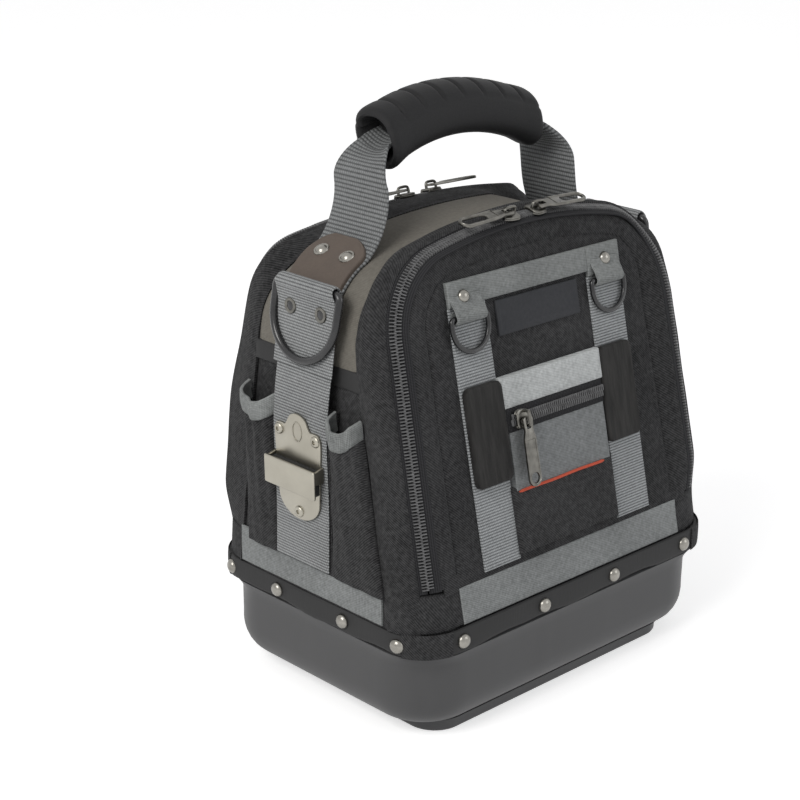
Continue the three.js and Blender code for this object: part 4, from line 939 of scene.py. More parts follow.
taupe_canvas = canvas("taupe_canvas", tone(86, 83, 77), tone(136, 132, 124))
line_stage = np.interp(strip_low, fold_z + shell_arch.at(np.array([0, 1.0]))[1], [0, 1])
top_stages = shell_arch.stages(4, line_stage, 6 - line_stage)
part = gusset_skin(top_stages, -3.0, 0.0, 0.7, 21)
add_piece("gusset_top", part, taupe_canvas, "bag")
for name, start, stop in (("right", 0.0, line_stage + 0.02), ("left", 5.98 - line_stage, 6.0)):
    part = gusset_skin(shell_arch.stages(4, start, stop), -3.2, -0.5, 0.3, 22)
    add_piece(f"gusset_{name}", part, black_cordura, "bag")
backing = [patch(end, (-37, 48), (193.5, strip_low + 0.5), -0.8, 0.9) for end in ends.values()]
add_piece("pocket_backing_bands", join_parts(backing), trim_tape, "bag")
for label, face in front_and_back:
    part = corner_strip(face)
    nodes = ["body_shell"] if label == "front" else []
    add_piece(f"{label}_corner_strip", part, black_cordura, "bag", nodes)

# Doors: padded panels of black nylon inside each zip. A line of stitching runs round them inside
# the edge, and their lining is smooth cloth.
door_low = 2.1
door_thick = 6.0
door_seam = 13.0


def door_grid(face, inset):
    """Rows that follow the door's outline inwards, then a fan to the middle of its lower edge:
    outline + normal * distance up to the last row, then that row blended to the pole."""
    arch = Arch(**zip_line, bottom=door_low)
    stage = arch.stages(2.6)
    x, v, nx, nv = arch.at(stage)
    start = tape_edge * np.cos(zip_tilt(face, v, nv)) - inset
    distance = np.array([0, 0.25, 0.7, 1.4, 2.4, 4, 6, 8.5, 10.5, 11.6, 12.3, 13.0, 13.7, 14.4,
                         15.6, 17.5])
    edge_x = x + nx * (start + distance[:, None])
    edge_v = v + nv * (start + distance[:, None])
    edge_v = np.where(np.abs(nv) < 0.1, np.maximum(edge_v, door_low), edge_v)
    share = 1 - (1 - np.linspace(0, 1, 30)[1:, None]) ** 1.15
    fan_x = edge_x[-1] * (1 - share)
    fan_v = edge_v[-1] * (1 - share) + door_low * share
    grid_x = np.concatenate([edge_x, fan_x])
    grid_v = np.concatenate([edge_v, fan_v])
    far = np.concatenate([np.broadcast_to(distance[:, None], edge_x.shape), 99 + np.zeros(fan_x.shape)])
    return grid_x, grid_v, far


def door(face, seed):
    """The outside rises on a rounded edge to the face, with a sewn groove a seam's distance in
    and soft swells between the straps. The inside lies a thickness below."""
    x, v, far = door_grid(face, 0.9)
    rise = -2.6 + 2.7 * np.sqrt(1 - (1 - np.clip(far / 3.2, 0, 1)) ** 2)
    rise = rise - 0.9 * np.exp(-((far - door_seam) / 0.9) ** 2)
    free = np.clip((np.abs(x) - 71) / 5, 0, 1) + np.clip((v - 163) / 5, 0, 1)
    swell = 0.7 * np.sin(np.clip((far - door_seam) / 16, 0, 1) * np.pi / 2) * np.clip(free, 0, 1)
    ripple = creases(seed, 38)(x, v) * 0.55 * np.clip(free + 0.15, 0, 1) * np.clip((far - 1) / 4, 0, 1)
    depth = -door_thick + np.clip(1 - far / 6, 0, 1) - creases(seed + 1, 60)(x, v) * 0.3
    outer = face.at(x, v, rise + (swell + ripple) * np.clip(far / 6, 0, 1))
    return skin(outer, face.at(x, v, depth), np.stack([x, v], -1))


lining = canvas("lining", tone(40, 40, 42), tone(66, 66, 69), 0.6)
for label, face, seed in (("front", front, 31), ("back", back, 41)):
    part = door(face, seed)
    panel = add_piece(f"{label}_door_panel", part, black_cordura, f"{label}_door",
                      [f"{label}_door"])
    x, v, far = door_grid(face, -2.0)
    soft = creases(seed + 2, 45)(x, v) * 0.25 * np.clip(far / 8, 0, 1)
    hidden = face.at(x, v, 0.8 - door_thick)
    part = skin(hidden, face.at(x, v, -0.6 - door_thick - soft), np.stack([x, v], -1))
    add_piece(f"{label}_door_lining", part, lining, f"{label}_door")

# Folds: a strip of the door's own cloth joins it to the wall below.
fold_half = 100.0
fold_rise = (-3.0, 7.0)
for label, face in front_and_back:
    part = patch(face, (-fold_half, fold_half), fold_rise, -1.2, 0.25, edge=0.5, step=2.5)
    strip = add_piece(f"{label}_fold", part, black_cordura, None)
    start = face.at(0, -2.0, 0) * 0.001
    end = face.at(0, 4.5, 0) * 0.001
    tuple(end)
    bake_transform(strip)

# Webbing on the doors: two woven straps and a band across their tops, all sewn down. Each strap
# carries a small black D-ring in a folded tab, under a domed rivet.
strap_middles = (-56.0, 54.0)
ring_middles = (-57.8, 54.0)
strap_half = 14.0
strap_foot = 1.9
strap_head = 159.5
band_low = 145.5
strap_out = 1.55
ring_bar_v = 140.0
ring_bar_out = 3.8
tab_half = 11.4
strap_rivet_x = (-59.2, 54.8)
strap_rivet_v = 150.6


def smooth_path(points, count):
    """A curve through the points: on each span the cubic of the four nearest points."""
    p = np.asarray(points, float)
    p = np.concatenate([[2 * p[0] - p[1]], p, [2 * p[-1] - p[-2]]])
    t = np.linspace(0, len(p) - 3, count)
    i = np.minimum(t.astype(int), len(p) - 4)
    f = (t - i)[:, None]
    a, b, c, d = p[i], p[i + 1], p[i + 2], p[i + 3]
    return 0.5 * (2 * b + (c - a) * f + (2 * a - 5 * b + 4 * c - d) * f ** 2
                  + (3 * b - a - 3 * c + d) * f ** 3)


def ribbon(path, across, half, thick, bow=0.0):
    """A strip of webbing: each point of the path moved sideways by up to half a width, and by
    half a thickness along across x along. Its edges are rounded, and it may bow in the middle."""
    path = np.asarray(path, float)
    across = np.asarray(across, float)
    half = np.broadcast_to(half, len(path))[:, None]
    thick = np.broadcast_to(thick, len(path))[:, None]
    normal = np.cross(np.gradient(path, axis=0), across)
    normal /= np.linalg.norm(normal, axis=-1, keepdims=True)
    side = np.array([-1, -0.97, -0.9, -0.6, -0.3, 0, 0.3, 0.6, 0.9, 0.97, 1])
    edge = np.array([0.25, 0.7, 1, 1, 1, 1, 1, 1, 1, 0.7, 0.25])
    base = path[:, None] + (side * half)[..., None] * across
    bowed = np.broadcast_to(bow, len(path))[:, None] * (1 - side ** 2)
    base = base + normal[:, None] * bowed[..., None]
    lift = normal[:, None] * (thick / 2 * edge)[..., None]
    run = np.cumsum(np.r_[0, np.linalg.norm(np.diff(path, axis=0), axis=1)])
    uv = np.stack(np.broadcast_arrays(side * half, run[:, None]), -1)
    return skin(base + lift, base - lift, uv)


def tube(path, radius, flat, closed=False, sides=12):
    """A round rod along a flat curve: path + radius * (cos * side + sin * flat)."""
    path = np.asarray(path, float)
    flat = np.asarray(flat, float)
    along = np.roll(path, -1, 0) - np.roll(path, 1, 0) if closed else np.gradient(path, axis=0)
    side = np.cross(flat, along)
    side /= np.linalg.norm(side, axis=-1, keepdims=True)
    turn = np.linspace(0, 2 * np.pi, sides, endpoint=False)
    radius = np.broadcast_to(radius, len(path))[:, None, None]
    ring = np.cos(turn)[:, None] * side[:, None] + np.sin(turn)[:, None] * flat
    grid = path[:, None] + radius * ring
    return closed_ring(grid) if closed else closed_loft(grid)


def arc(cx, cy, radius, start, stop, count=9):
    """Points of a circle from one angle to another, in degrees."""
    turn = np.radians(np.linspace(start, stop, count))
    return np.stack([cx + radius * np.cos(turn), cy + radius * np.sin(turn)], -1)


def d_ring(width, height, wire):
    """A ring bent from rod: a straight bar on X at the origin, and a bow that hangs to -height."""
    radius = (width - wire) / 2
    drop = height - wire - radius
    bend = wire * 0.75
    flat = np.concatenate([
        np.stack([np.linspace(bend - radius, radius - bend, 9), np.zeros(9)], -1),
        arc(radius - bend, -bend, bend, 80, 5, 5), arc(0, -drop, radius, 0, -180, 34),
        arc(bend - radius, -bend, bend, 175, 100, 5)])
    path = np.column_stack([flat[:, 0], np.zeros(len(flat)), flat[:, 1]])
    return tube(path, wire / 2, (0, 1, 0), closed=True)


def webbing_cloth(name, dark, light, rib=1.45, dash=0.95):
    """Woven webbing: rows of thick weft ribs across it, each crossed by short warp dashes that
    shift by half a dash from one rib to the next."""
    finish = Finish(name, {"Roughness": 0.8, "Specular IOR Level": 0.07, "Sheen Weight": 0.06,
                           "Sheen Roughness": 0.45})
    u, v = cloth_places(finish)
    row = v / rib
    shift = row.math("FLOOR") * 0.5
    ribs = thread(v, rib)
    dashes = thread(u + shift * dash, dash)
    uneven = finish.noise(600, 2)
    faded = finish.noise(30, 3)
    height = ribs * (0.45 + dashes * 0.55)
    finish.set({
        "Base Color": finish.mix(height * 0.75 + uneven * 0.35 + (faded - 0.5) * 0.3, dark, light),
        "Normal": finish.bump(height * 0.8 + uneven * 0.2, 0.5, 0.9),
    })
    return finish


strap_cloth = webbing_cloth("strap_cloth", tone(40, 42, 43), tone(192, 195, 197), 1.6, 1.2)
band_cloth = canvas("band_cloth", tone(42, 44, 44), tone(168, 171, 170), 1.0)
ring_metal = Finish("ring_metal", {"Base Color": tone(26, 26, 27), "Metallic": 0.0,
                                   "Specular IOR Level": 0.4, "Coat Weight": 0.25,
                                   "Coat Roughness": 0.08})
worn = ring_metal.noise(260, 4)
ring_metal.set({"Base Color": ring_metal.mix(worn, tone(20, 20, 21), tone(44, 44, 46)),
                "Roughness": 0.16 + worn * 0.2})
for label, face in front_and_back:
    straps = []
    tabs = []
    for strap_x, ring_x in zip(strap_middles, ring_middles):
        span = (strap_x - strap_half, strap_x + strap_half)
        straps.append(patch(face, span, (strap_foot, band_low + 6), 0.3, strap_out, edge=0.7,
                            relief=creases(7, 40, 0.25)))
        turn = np.radians(np.linspace(70, -190, 16))
        round_bar = np.stack([ring_bar_v + 2.75 * np.sin(turn), ring_bar_out + 2.75 * np.cos(turn)], -1)
        lead = np.array([(151.4, 2.3), (149.5, 2.9), (146.8, 4.0), (144.4, 5.3)])
        tail = np.array([(139.4, 1.5), (143, 1.3)])
        profile = np.concatenate([lead, round_bar[2:13], tail])
        path = face.at(ring_x + np.zeros(len(profile)), profile[:, 0], profile[:, 1])
        tabs.append(ribbon(smooth_path(path, 42), (-1, 0, 0), tab_half, 1.35))
    part = join_parts(straps)
    add_piece(f"{label}_straps", part, strap_cloth, f"{label}_door", [f"{label}_webbing"])
    left_x, right_x = strap_middles
    top_span = (left_x - strap_half, right_x - strap_half + 0.4)
    cap_span = (right_x - strap_half, right_x + strap_half)
    top = patch(face, top_span, (band_low, strap_head), 0.3, 2.7, relief=creases(8, 50))
    cap = patch(face, cap_span, (band_low - 3, strap_head), 0.3, 2.9, relief=creases(8, 50))
    add_piece(f"{label}_top_band", join_parts([top, cap]), band_cloth, f"{label}_door")
    add_piece(f"{label}_tabs", join_parts(tabs), band_cloth, f"{label}_door")
    at = face.at(np.array(strap_rivet_x), strap_rivet_v, 2.6)
    out = face.at(0, strap_rivet_v, 1) - face.at(0, strap_rivet_v, 0)
    head = np.array(dome) * (0.92, 1.05)
    part = placed(turned_shape(head), at, frames_from(np.stack([out, out]), (0, 0, 1)))
    add_piece(f"{label}_strap_rivets", part, nickel, f"{label}_door")
    for hand, ring_x in zip(("left", "right"), ring_middles):
        origin = face.at(ring_x, ring_bar_v, ring_bar_out)
        upward = face.at(0, ring_bar_v + 1, 0) - face.at(0, ring_bar_v - 1, 0)
        upward /= np.linalg.norm(upward)
        base = np.array([(1, 0, 0), np.cross(upward, (1, 0, 0)), upward])
        part = placed_once(d_ring(30, 22, 3.0), origin, base)
        add_piece(f"{label}_{hand}_small_ring", part, ring_metal, f"{label}_{hand}_ring",
                  [f"{label}_{hand}_ring"])

# Label patch: smooth black cloth, left bare, with a raised and stitched border.
label_span = (-35.0, 31.0)
label_rise = (124.0, 143.5)
label_border = 2.4


def framed(u, v):
    """A border: the rise falls by a step a border's width in from the patch's edge."""
    inside = from_rim(u, v, label_span, label_rise)
    return -0.55 * np.clip((inside - label_border) / 0.6, 0, 1)


label_cloth = canvas("label_cloth", tone(56, 57, 60), tone(76, 77, 80), 0.5)
part = patch(front, label_span, label_rise, 0.3, 1.5, edge=0.5, step=0.8, relief=framed)
add_piece("label_patch", part, label_cloth, "front_door", ["front_label"])

# Front pocket: a pouch between the straps with a short zip under a light band. Its lower part is
# black, the panel above is grey canvas, and a red piping runs between them.
pouch_half = 41.2
panel_span = (-39.3, 39.0)
flap_half = 41.0
tape_half = 40.0
tape_lap = 1.5
pouch_foot = 3.9
piping_v = 39.0
panel_top = 72.4
zip_top_v = 84.7
pouch_top = 102.6
pouch_out = 4.4
pocket_zip_v = 78.5
pouch_shift = -2.0


class Aside:
    """A face whose x is counted from a line a little aside."""

    def __init__(self, face, shift):
        self.face = face
        self.shift = shift

    def at(self, x, v, w=0.0):
        return self.face.at(np.asarray(x) + self.shift, v, w)


pouch_face = Aside(front, pouch_shift)
light_canvas = canvas("light_canvas", tone(92, 95, 95), tone(236, 239, 239), 1.0)
pocket_canvas = canvas("pocket_canvas", tone(48, 50, 50), tone(164, 167, 168), 1.0)
piping_cloth = canvas("piping_cloth", tone(168, 60, 44), tone(226, 112, 88), 0.9)
part = patch(pouch_face, (-pouch_half, pouch_half), (pouch_foot, piping_v + 3), 0.3,
             pouch_out - 0.3, edge=2.0, step=3, relief=creases(51, 45, 0.6))
add_piece("pocket_lower", part, black_cordura, "front_door", ["front_zip_pocket"])
part = patch(pouch_face, panel_span, (piping_v, panel_top), 0.3, pouch_out + 0.2,
             edge=1.0, relief=creases(52, 50, 0.5))
add_piece("pocket_panel", part, pocket_canvas, "front_door")
part = patch(pouch_face, (-flap_half, flap_half), (zip_top_v, pouch_top), 0.3,
             pouch_out + 0.5, edge=1.2, relief=creases(53, 50, 0.5))
add_piece("pocket_flap", part, light_canvas, "front_door")
tape_rise = (panel_top - tape_lap, zip_top_v + tape_lap)
part = patch(pouch_face, (-tape_half, tape_half), tape_rise, 0.3, pouch_out - 0.2)
add_piece("pocket_tape", part, zip_cloth, "front_door")
rod_x = np.linspace(-37.5, 32.5, 40)
thin = 0.85 * np.clip(np.minimum(rod_x + 38.2, 33.2 - rod_x) / 1.5, 0.3, 1)
rod = pouch_face.at(rod_x, piping_v + 0.15 * np.sin(rod_x / 6), pouch_out + 0.25)
part = tube(rod, thin, (1e-6, -0.974, 0.225))
add_piece("pocket_piping", part, piping_cloth, "front_door")
small_tooth = tooth_shape((3.2, 2.9, 0.6, -0.2), (0.25, 0.42, 0.48, 0.3), (1.0, 1.0, 1.0, 1.0),
                          ((-1, -0.5), (-0.7, 0.9), (0.7, 0.9), (1, -0.5)))
up_way = pouch_face.at(0, 1, 0) - pouch_face.at(0, 0, 0)
out_way = pouch_face.at(0, 0, 1) - pouch_face.at(0, 0, 0)
rows = []
for side in (-1, 1):
    tooth_x = np.arange(-36, 38, 1.6) + side * 0.4
    origin = pouch_face.at(tooth_x, pocket_zip_v, pouch_out + 1.0)
    base = np.broadcast_to(np.array([(1, 0, 0), up_way * side, out_way]), (len(tooth_x), 3, 3))
    rows.append(placed(small_tooth, origin, base))
points, faces, _ = join_parts(rows)
add_piece("pocket_teeth", (points, faces, None), tooth_plastic, "front_door")

# Side covers of the pocket: soft black leathery flaps sewn over the straps, with rounded corners
# and creases down their length.
cover_inner = 39.6
cover_outer = 67.5
cover_low = 47.0
cover_high = 102.3
leathery = Finish("leathery", {"Specular IOR Level": 0.12, "Sheen Weight": 0.02, "Sheen Roughness": 0.4})
long_grain = leathery.noise(160, 5, (2.2, 1, 0.22))
pores = leathery.noise(520, 2)
leathery.set({
    "Base Color": leathery.mix(long_grain.math("POWER", 1.5) * 1.3, tone(20, 20, 20), tone(66, 65, 64)),
    "Roughness": 0.5 + long_grain * 0.3,
    "Normal": leathery.bump(long_grain * 0.7 + pores * 0.3, 0.7, 0.7),
})


def rounded_patch(surface, u_span, v_span, low, high, corner, relief, step=1.6):
    """A patch with round corners: its grid lines are drawn in near the corners, by
    corner * (1 - sqrt(1 - (1 - d / corner)^2)) where d is the way to the end."""
    u, v = np.meshgrid(grid_lines(*u_span, step, 1.0), grid_lines(*v_span, step, 1.0))
    middle = sum(u_span) / 2
    half = (u_span[1] - u_span[0]) / 2
    to_end = np.clip(np.minimum(v - v_span[0], v_span[1] - v) / corner, 0, 1)
    pull = 1 - corner / half * (1 - np.sqrt(1 - (1 - to_end) ** 2))
    distance = from_rim(u, v, u_span, v_span)
    rise = (high - low) * rounded_edge(distance, 1.2) + relief(u, v) * np.clip(distance / 3, 0, 1)
    x = middle + (u - middle) * pull
    return skin(surface.at(x, v, low + rise), surface.at(x, v, low), np.stack([x, v], -1))


def long_folds(seed):
    """Folds that run along v: sines of u with a slow sideways drift."""
    rng = np.random.default_rng(seed)
    phase = rng.uniform(0, 6, 4)

    def relief(u, v):
        drift = 1.6 * np.sin(v / 13 + phase[0]) + 0.7 * np.sin(v / 6 + phase[1])
        wave = np.sin((u + drift) / 2.4 + phase[2]) * 0.5 + np.sin((u - drift) / 4.6 + phase[3]) * 0.6
        return 0.42 * wave * (0.5 + 0.5 * np.sin(v / 19 + phase[1]))

    return relief


covers = []
for side in (-1, 1):
    span = tuple(sorted((side * cover_inner, side * cover_outer)))
    covers.append(rounded_patch(pouch_face, span, (cover_low, cover_high), 2.0, pouch_out + 0.9, 4.5,
                                long_folds(60 + side)))
add_piece("pocket_covers", join_parts(covers), leathery, "front_door")

# Sliders and pulls: die-cast gunmetal. Two sliders meet at the top of each zip with long pulls
# that point outwards, and one small slider hangs its pull over the pocket.
plate_low = 1.5
plate_top = 3.1
pull_rise = 4.8
pull_length = 38.0
pull_half = 4.75
crown_gap = 11.0


def slider_shape(turned=False):
    """A rounded plate over the teeth with a lip down each side, and an arched bridge on it."""
    x = np.array([-5.5, -5.3, -4.6, -3, 0, 3, 4.6, 5.3, 5.5])
    half = np.array([2.6, 3.6, 4.7, 5.3, 5.1, 4.4, 3.6, 2.9, 2.0])
    turn = np.linspace(0, 2 * np.pi, 17)[:-1]
    y = half[:, None] * squared(np.cos(turn), 0.5)
    thick = np.array([0.4, 0.7, 0.8, 0.8, 0.8, 0.8, 0.8, 0.7, 0.4])[:, None]
    z = (plate_low + plate_top) / 2 + thick * squared(np.sin(turn), 0.6)
    plate = closed_loft(np.stack([np.repeat(x[:, None], 16, 1), y, z], -1))
    lips = []
    for side in (-1, 1):
        lip_path = np.stack([x[1:-1], side * (half[1:-1] - 0.55), np.full(7, 1.35)], -1)
        lips.append(tube(lip_path, 0.75, (0, 0, 1), sides=8))
    bridge = smooth_path([(-4, 0, 2.6), (-4.1, 0, 5.0), (-3.2, 0, 6.6), (0, 0, 6.9), (3.2, 0, 6.6),
                          (4.1, 0, 5.0), (4, 0, 2.6)], 25)
    bridge = tube(bridge, 0.85, (0, 1, 0), sides=8)
    if turned:
        bridge = (bridge[0][:, [1, 0, 2]], bridge[1], bridge[2])
    return join_parts([plate, *lips, bridge])


def cut_plate(outline, holes, thick, bevel):
    """A stamped plate: a closed outline with holes, filled, thickened, and rounded at its edges."""
    curve = bpy.data.curves.new("plate", "CURVE")
    curve.dimensions = "2D"
    curve.fill_mode = "BOTH"
    curve.extrude = thick / 2 - bevel
    curve.bevel_depth = bevel
    curve.bevel_resolution = 1
    curve.offset = -bevel
    for loop in [outline, *holes]:
        spline = curve.splines.new("POLY")
        spline.points.add(len(loop) - 1)
        height_and_weight = np.tile((0.0, 1.0), (len(loop), 1))
        spline.points.foreach_set("co", np.column_stack([loop, height_and_weight]).ravel())
        spline.use_cyclic_u = True
    holder = bpy.data.objects.new("plate", curve)
    mesh = bpy.data.meshes.new_from_object(holder)
    points = np.empty(len(mesh.vertices) * 3)
    mesh.vertices.foreach_get("co", points)
    faces = [list(face.vertices) for face in mesh.polygons]
    bpy.data.objects.remove(holder)
    bpy.data.curves.remove(curve)
    bpy.data.meshes.remove(mesh)
    return points.reshape(-1, 3), faces, None


def pull_shape(hole):
    """A pull that lies along +X from its eye: a neck, a widening and a round end. The hole near
    the end is a long window or a round one."""
    end = pull_length - pull_half
    neck = pull_half * 0.66
    outline = np.concatenate([arc(0.9, 1.2 - neck, 1.9, -100, -178, 4)[::-1],
                              [(7, -neck), (11, 0.3 - pull_half)],
                              arc(end, 0, pull_half, -88, 88, 15),
                              [(11, pull_half - 0.3), (7, neck)],
                              arc(0.9, neck - 1.2, 1.9, 178, 100, 4)[::-1]])
    eye = np.concatenate([arc(1.4, -0.8, 0.7, 180, 270, 4), arc(5.0, -0.8, 0.7, 270, 360, 4),
                          arc(5.0, 0.8, 0.7, 0, 90, 4), arc(1.4, 0.8, 0.7, 90, 180, 4)])
    if hole == "long":
        inner = 2.7
        window = np.concatenate([arc(end, 0, inner, -85, 85, 9), arc(end - 12, 0, inner, 95, 265, 9)])
    else:
        window = arc(end, 0, 3.1, 0, 345, 20)
    plate = cut_plate(outline, [eye, window], 1.5, 0.32)
    rim_path = np.concatenate([[(12, 0.95 - pull_half)], arc(end, 0, pull_half - 0.75, -88, 88, 15),
                               [(12, pull_half - 0.95)]])
    rim = np.column_stack([rim_path, np.full(len(rim_path), 0.62)])
    return join_parts([plate, tube(rim, 0.45, (0, 0, 1), closed=True, sides=6)])


gunmetal = Finish("gunmetal", {"Metallic": 1.0})
worn = gunmetal.noise(240, 5)
gunmetal.set({"Base Color": gunmetal.mix(worn, tone(62, 61, 58), tone(138, 136, 130)),
              "Roughness": 0.2 + worn * 0.25, "Normal": gunmetal.bump(worn, 0.06, 0.4)})
for label, face in front_and_back:
    for hand, side in (("left", -1), ("right", 1)):
        stage = zip_arch.stage_at(zip_arch.runs[-1] / 2 - side * crown_gap)
        origin, across_way, out_way = zip_frame(face, stage)
        along_way = np.cross(across_way, out_way)
        if along_way[0] * side < 0:
            along_way, across_way = -along_way, -across_way
        base = np.array([along_way, across_way, out_way])
        part = placed_once(slider_shape(), origin, base)
        add_piece(f"{label}_{hand}_zip_slider", part, gunmetal, f"{label}_{hand}_slider",
                  [f"{label}_{hand}_slider"])
        part = placed_once(pull_shape("long"), origin + out_way * pull_rise, base)
        add_piece(f"{label}_{hand}_zip_pull", part, gunmetal, f"{label}_{hand}_pull",
                  [f"{label}_{hand}_pull"])
slider_at = front.at(-32.0, pocket_zip_v, pouch_out + 1.2)
out_way = front.at(0, 0, 1) - front.at(0, 0, 0)
base = np.array([(1, 0, 0), up_way, out_way])
part = placed_once(slider_shape(turned=True), slider_at, base)
add_piece("pocket_zip_slider", part, gunmetal, "pocket_slider", ["pocket_slider"])
base = np.array([-up_way, (1, 0, 0), out_way])
part = placed_once(pull_shape("round"), slider_at + out_way * pull_rise, base)
add_piece("pocket_zip_pull", part, gunmetal, "pocket_pull", ["pocket_pull"])

# Back pocket: an open patch pocket of black nylon on the back door, fuller towards its mouth,
# with its top edge bound in grey.
back_pocket_half = 41.5
back_pocket_foot = 3.2
back_pocket_top = 108.0
pocket_u = grid_lines(-back_pocket_half, back_pocket_half, 3, 1.5)
u, v = np.meshgrid(pocket_u, grid_lines(back_pocket_foot, back_pocket_top, 3, 1.5))
share = (v - back_pocket_foot) / (back_pocket_top - back_pocket_foot)
fullness = (1 - np.abs(u / back_pocket_half) ** 5) * (1.2 + 8.3 * share) + creases(71, 40)(u, v) * 0.5
out = 0.5 + np.clip(fullness, 0, 20) + 0.9
hidden = back.at(u, v, np.maximum(out - 1.3, 0.3))
part = skin(back.at(u, v, out), hidden, np.stack([u, v], -1))
add_piece("back_pocket_panel", part, black_cordura, "back_door", ["back_pocket"])
lip_u = np.linspace(-back_pocket_half, back_pocket_half, 41)
lip_out = 1.4 + (1 - np.abs(lip_u / back_pocket_half) ** 5) * 9.5
lip_out = lip_out + creases(71, 40)(lip_u, back_pocket_top) * 0.5
path = back.at(lip_u, back_pocket_top - 4, lip_out - 0.3)
part = ribbon(path, back.at(0, 101, 0) - back.at(0, 100, 0), 5.0, 1.9)
add_piece("back_pocket_binding", part, band_cloth, "back_door")

# Inside: a stiff board across the middle with a bound edge. Each side of it has a row of four
# narrow pockets, and before them a row of three wider and lower ones, all with bound mouths.
board_y = 4.0
board_half = 2.5
board_inset = 6.0
board_foot = [(100.0, 11.9), (107.0, 17.0), (111.5, 26.0), (112.5, 40.0), (112.5, 60.0)]
cell_half = 99.0
cell_binding = 5.0
cell_rows = ((4, 0.0, 18.5, 62.0, 176.0), (3, 18.5, 35.5, 12.5, 118.0))


def tool_pocket(side, span, near, far, low, top):
    """A pocket's cloth and the middle line of its binding: a flat front with rounded sides that
    closes in at its foot, |2s - 1|^7 across and a quarter circle upwards."""
    share, up = np.meshgrid(grid_lines(0, 1, 0.05, 0.06), grid_lines(0, 1, 0.07, 0.08))

    def out_at(share, up):
        foot = np.sqrt(1 - (1 - np.clip(up / 0.09, 0, 1)) ** 2)
        return near + 0.7 + (far - near - 1.6) * (1 - np.abs(2 * share - 1) ** 7) * (0.15 + 0.85 * foot)

    def at(share, up, out):
        x = span[0] + (span[1] - span[0]) * share
        z = low + (top - 4 - low) * up - 2.0 * np.sin(np.pi * share) * up
        return np.stack(np.broadcast_arrays(x, board_y + side * (board_half + out), z), -1)

    out = out_at(share, up)
    soft = creases(int(abs(span[0])), 36)(share * 50, up * 110) * 0.7
    soft = soft * np.clip((out - near) / 5 - 0.2, 0, 1)
    cloth = skin(at(share, up, out + soft), at(share, up, np.maximum(out + soft - 1.3, near + 0.1)),
                 np.stack([share * (span[1] - span[0]), up * (top - low)], -1))
    share = np.linspace(0, 1, 34)
    return cloth, at(share, 1 - 2.0 / (top - low), out_at(share, 1.0) + 0.4)


stage = shell_arch.stages(5)
x, v, nx, nv = shell_arch.at(stage)
over = np.stack([x + nx * board_inset, fold_z + v + nv * board_inset], -1)
foot = np.array(board_foot)
outline = np.concatenate([foot, over, foot[::-1] * (-1, 1)])
upright = [(1, 0, 0), (0, 0, 1), (0, -1, 0)]
board = cut_plate(outline, [], 2 * board_half, 0.8)
board = (board[0], board[1], board[0][:, :2])
board_cloth = canvas("board_cloth", tone(30, 30, 31), tone(62, 62, 64), 0.7)
board = placed_once(board, (0, board_y + board_half, 0), upright)
add_piece("middle_board", board, board_cloth, "bag", ["centre_panel"])
edge = np.column_stack([over[:, 0], np.full(len(over), board_y), over[:, 1]])
add_piece("board_binding", ribbon(edge, (0, 1, 0), board_half + 1.2, 1.8), band_cloth, "bag")
for label, side in (("front", -1), ("back", 1)):
    cells = []
    bindings = []
    for count, near, far, low, top in cell_rows:
        ends_at = np.linspace(-cell_half, cell_half, count + 1)
        for span in zip(ends_at[:-1] + 0.6, ends_at[1:] - 0.6):
            cloth, path = tool_pocket(side, span, near, far, low, top)
            cells.append(cloth)
            bindings.append(ribbon(path, (0, 0, 1), cell_binding, 2.0))
    part = join_parts(cells)
    add_piece(f"{label}_tool_cells", part, black_cordura, "bag",
              [f"{label}_tool_pockets"])
    add_piece(f"{label}_cell_bindings", join_parts(bindings), band_cloth, "bag")

# Side pockets: two at each end, of black nylon gathered on a narrow foot so that they stand open.
# Each mouth sags and is bound in grey webbing.
pocket_foot_z = 87.0
pocket_rim_z = 181.3
mouth_sag = 7.0
binding_half = 5.7
strap_y = 2.0
strap_clear = 22.3
rear_pocket_y = 50.0


def strap_out_at(z):
    """How far the end strap stands out: it bulges between its foot and the shoulder."""
    return 3.2 + 4.6 * np.exp(-((z - 168) / 42) ** 2)


def mouth_z(share):
    """The mouth's height across a pocket: it sags by a rounded dip between its ends."""
    return pocket_rim_z - mouth_sag * np.sin(np.pi * share) ** 0.75


def pocket_out(share, z, pleat):
    """How far a pocket stands out: square-shouldered across, and fuller towards its mouth. The
    pleats are sines across it that deepen upwards."""
    up = np.clip((z - pocket_foot_z) / (pocket_rim_z - pocket_foot_z), 0, 1)
    shoulders = 1 - np.abs(2 * share - 1) ** 9
    folds = 0.9 * np.sin(share * 9.5 + pleat + up * 1.2)
    folds = folds + 0.5 * np.sin(share * 21 + 2 * pleat - up * 2.5)
    seam = -0.8 * np.exp(-((z - 108) / 1.0) ** 2)
    return 2.2 + shoulders * (0.9 + 8.6 * up ** 0.9 + folds * (0.35 + 0.65 * up) + seam)


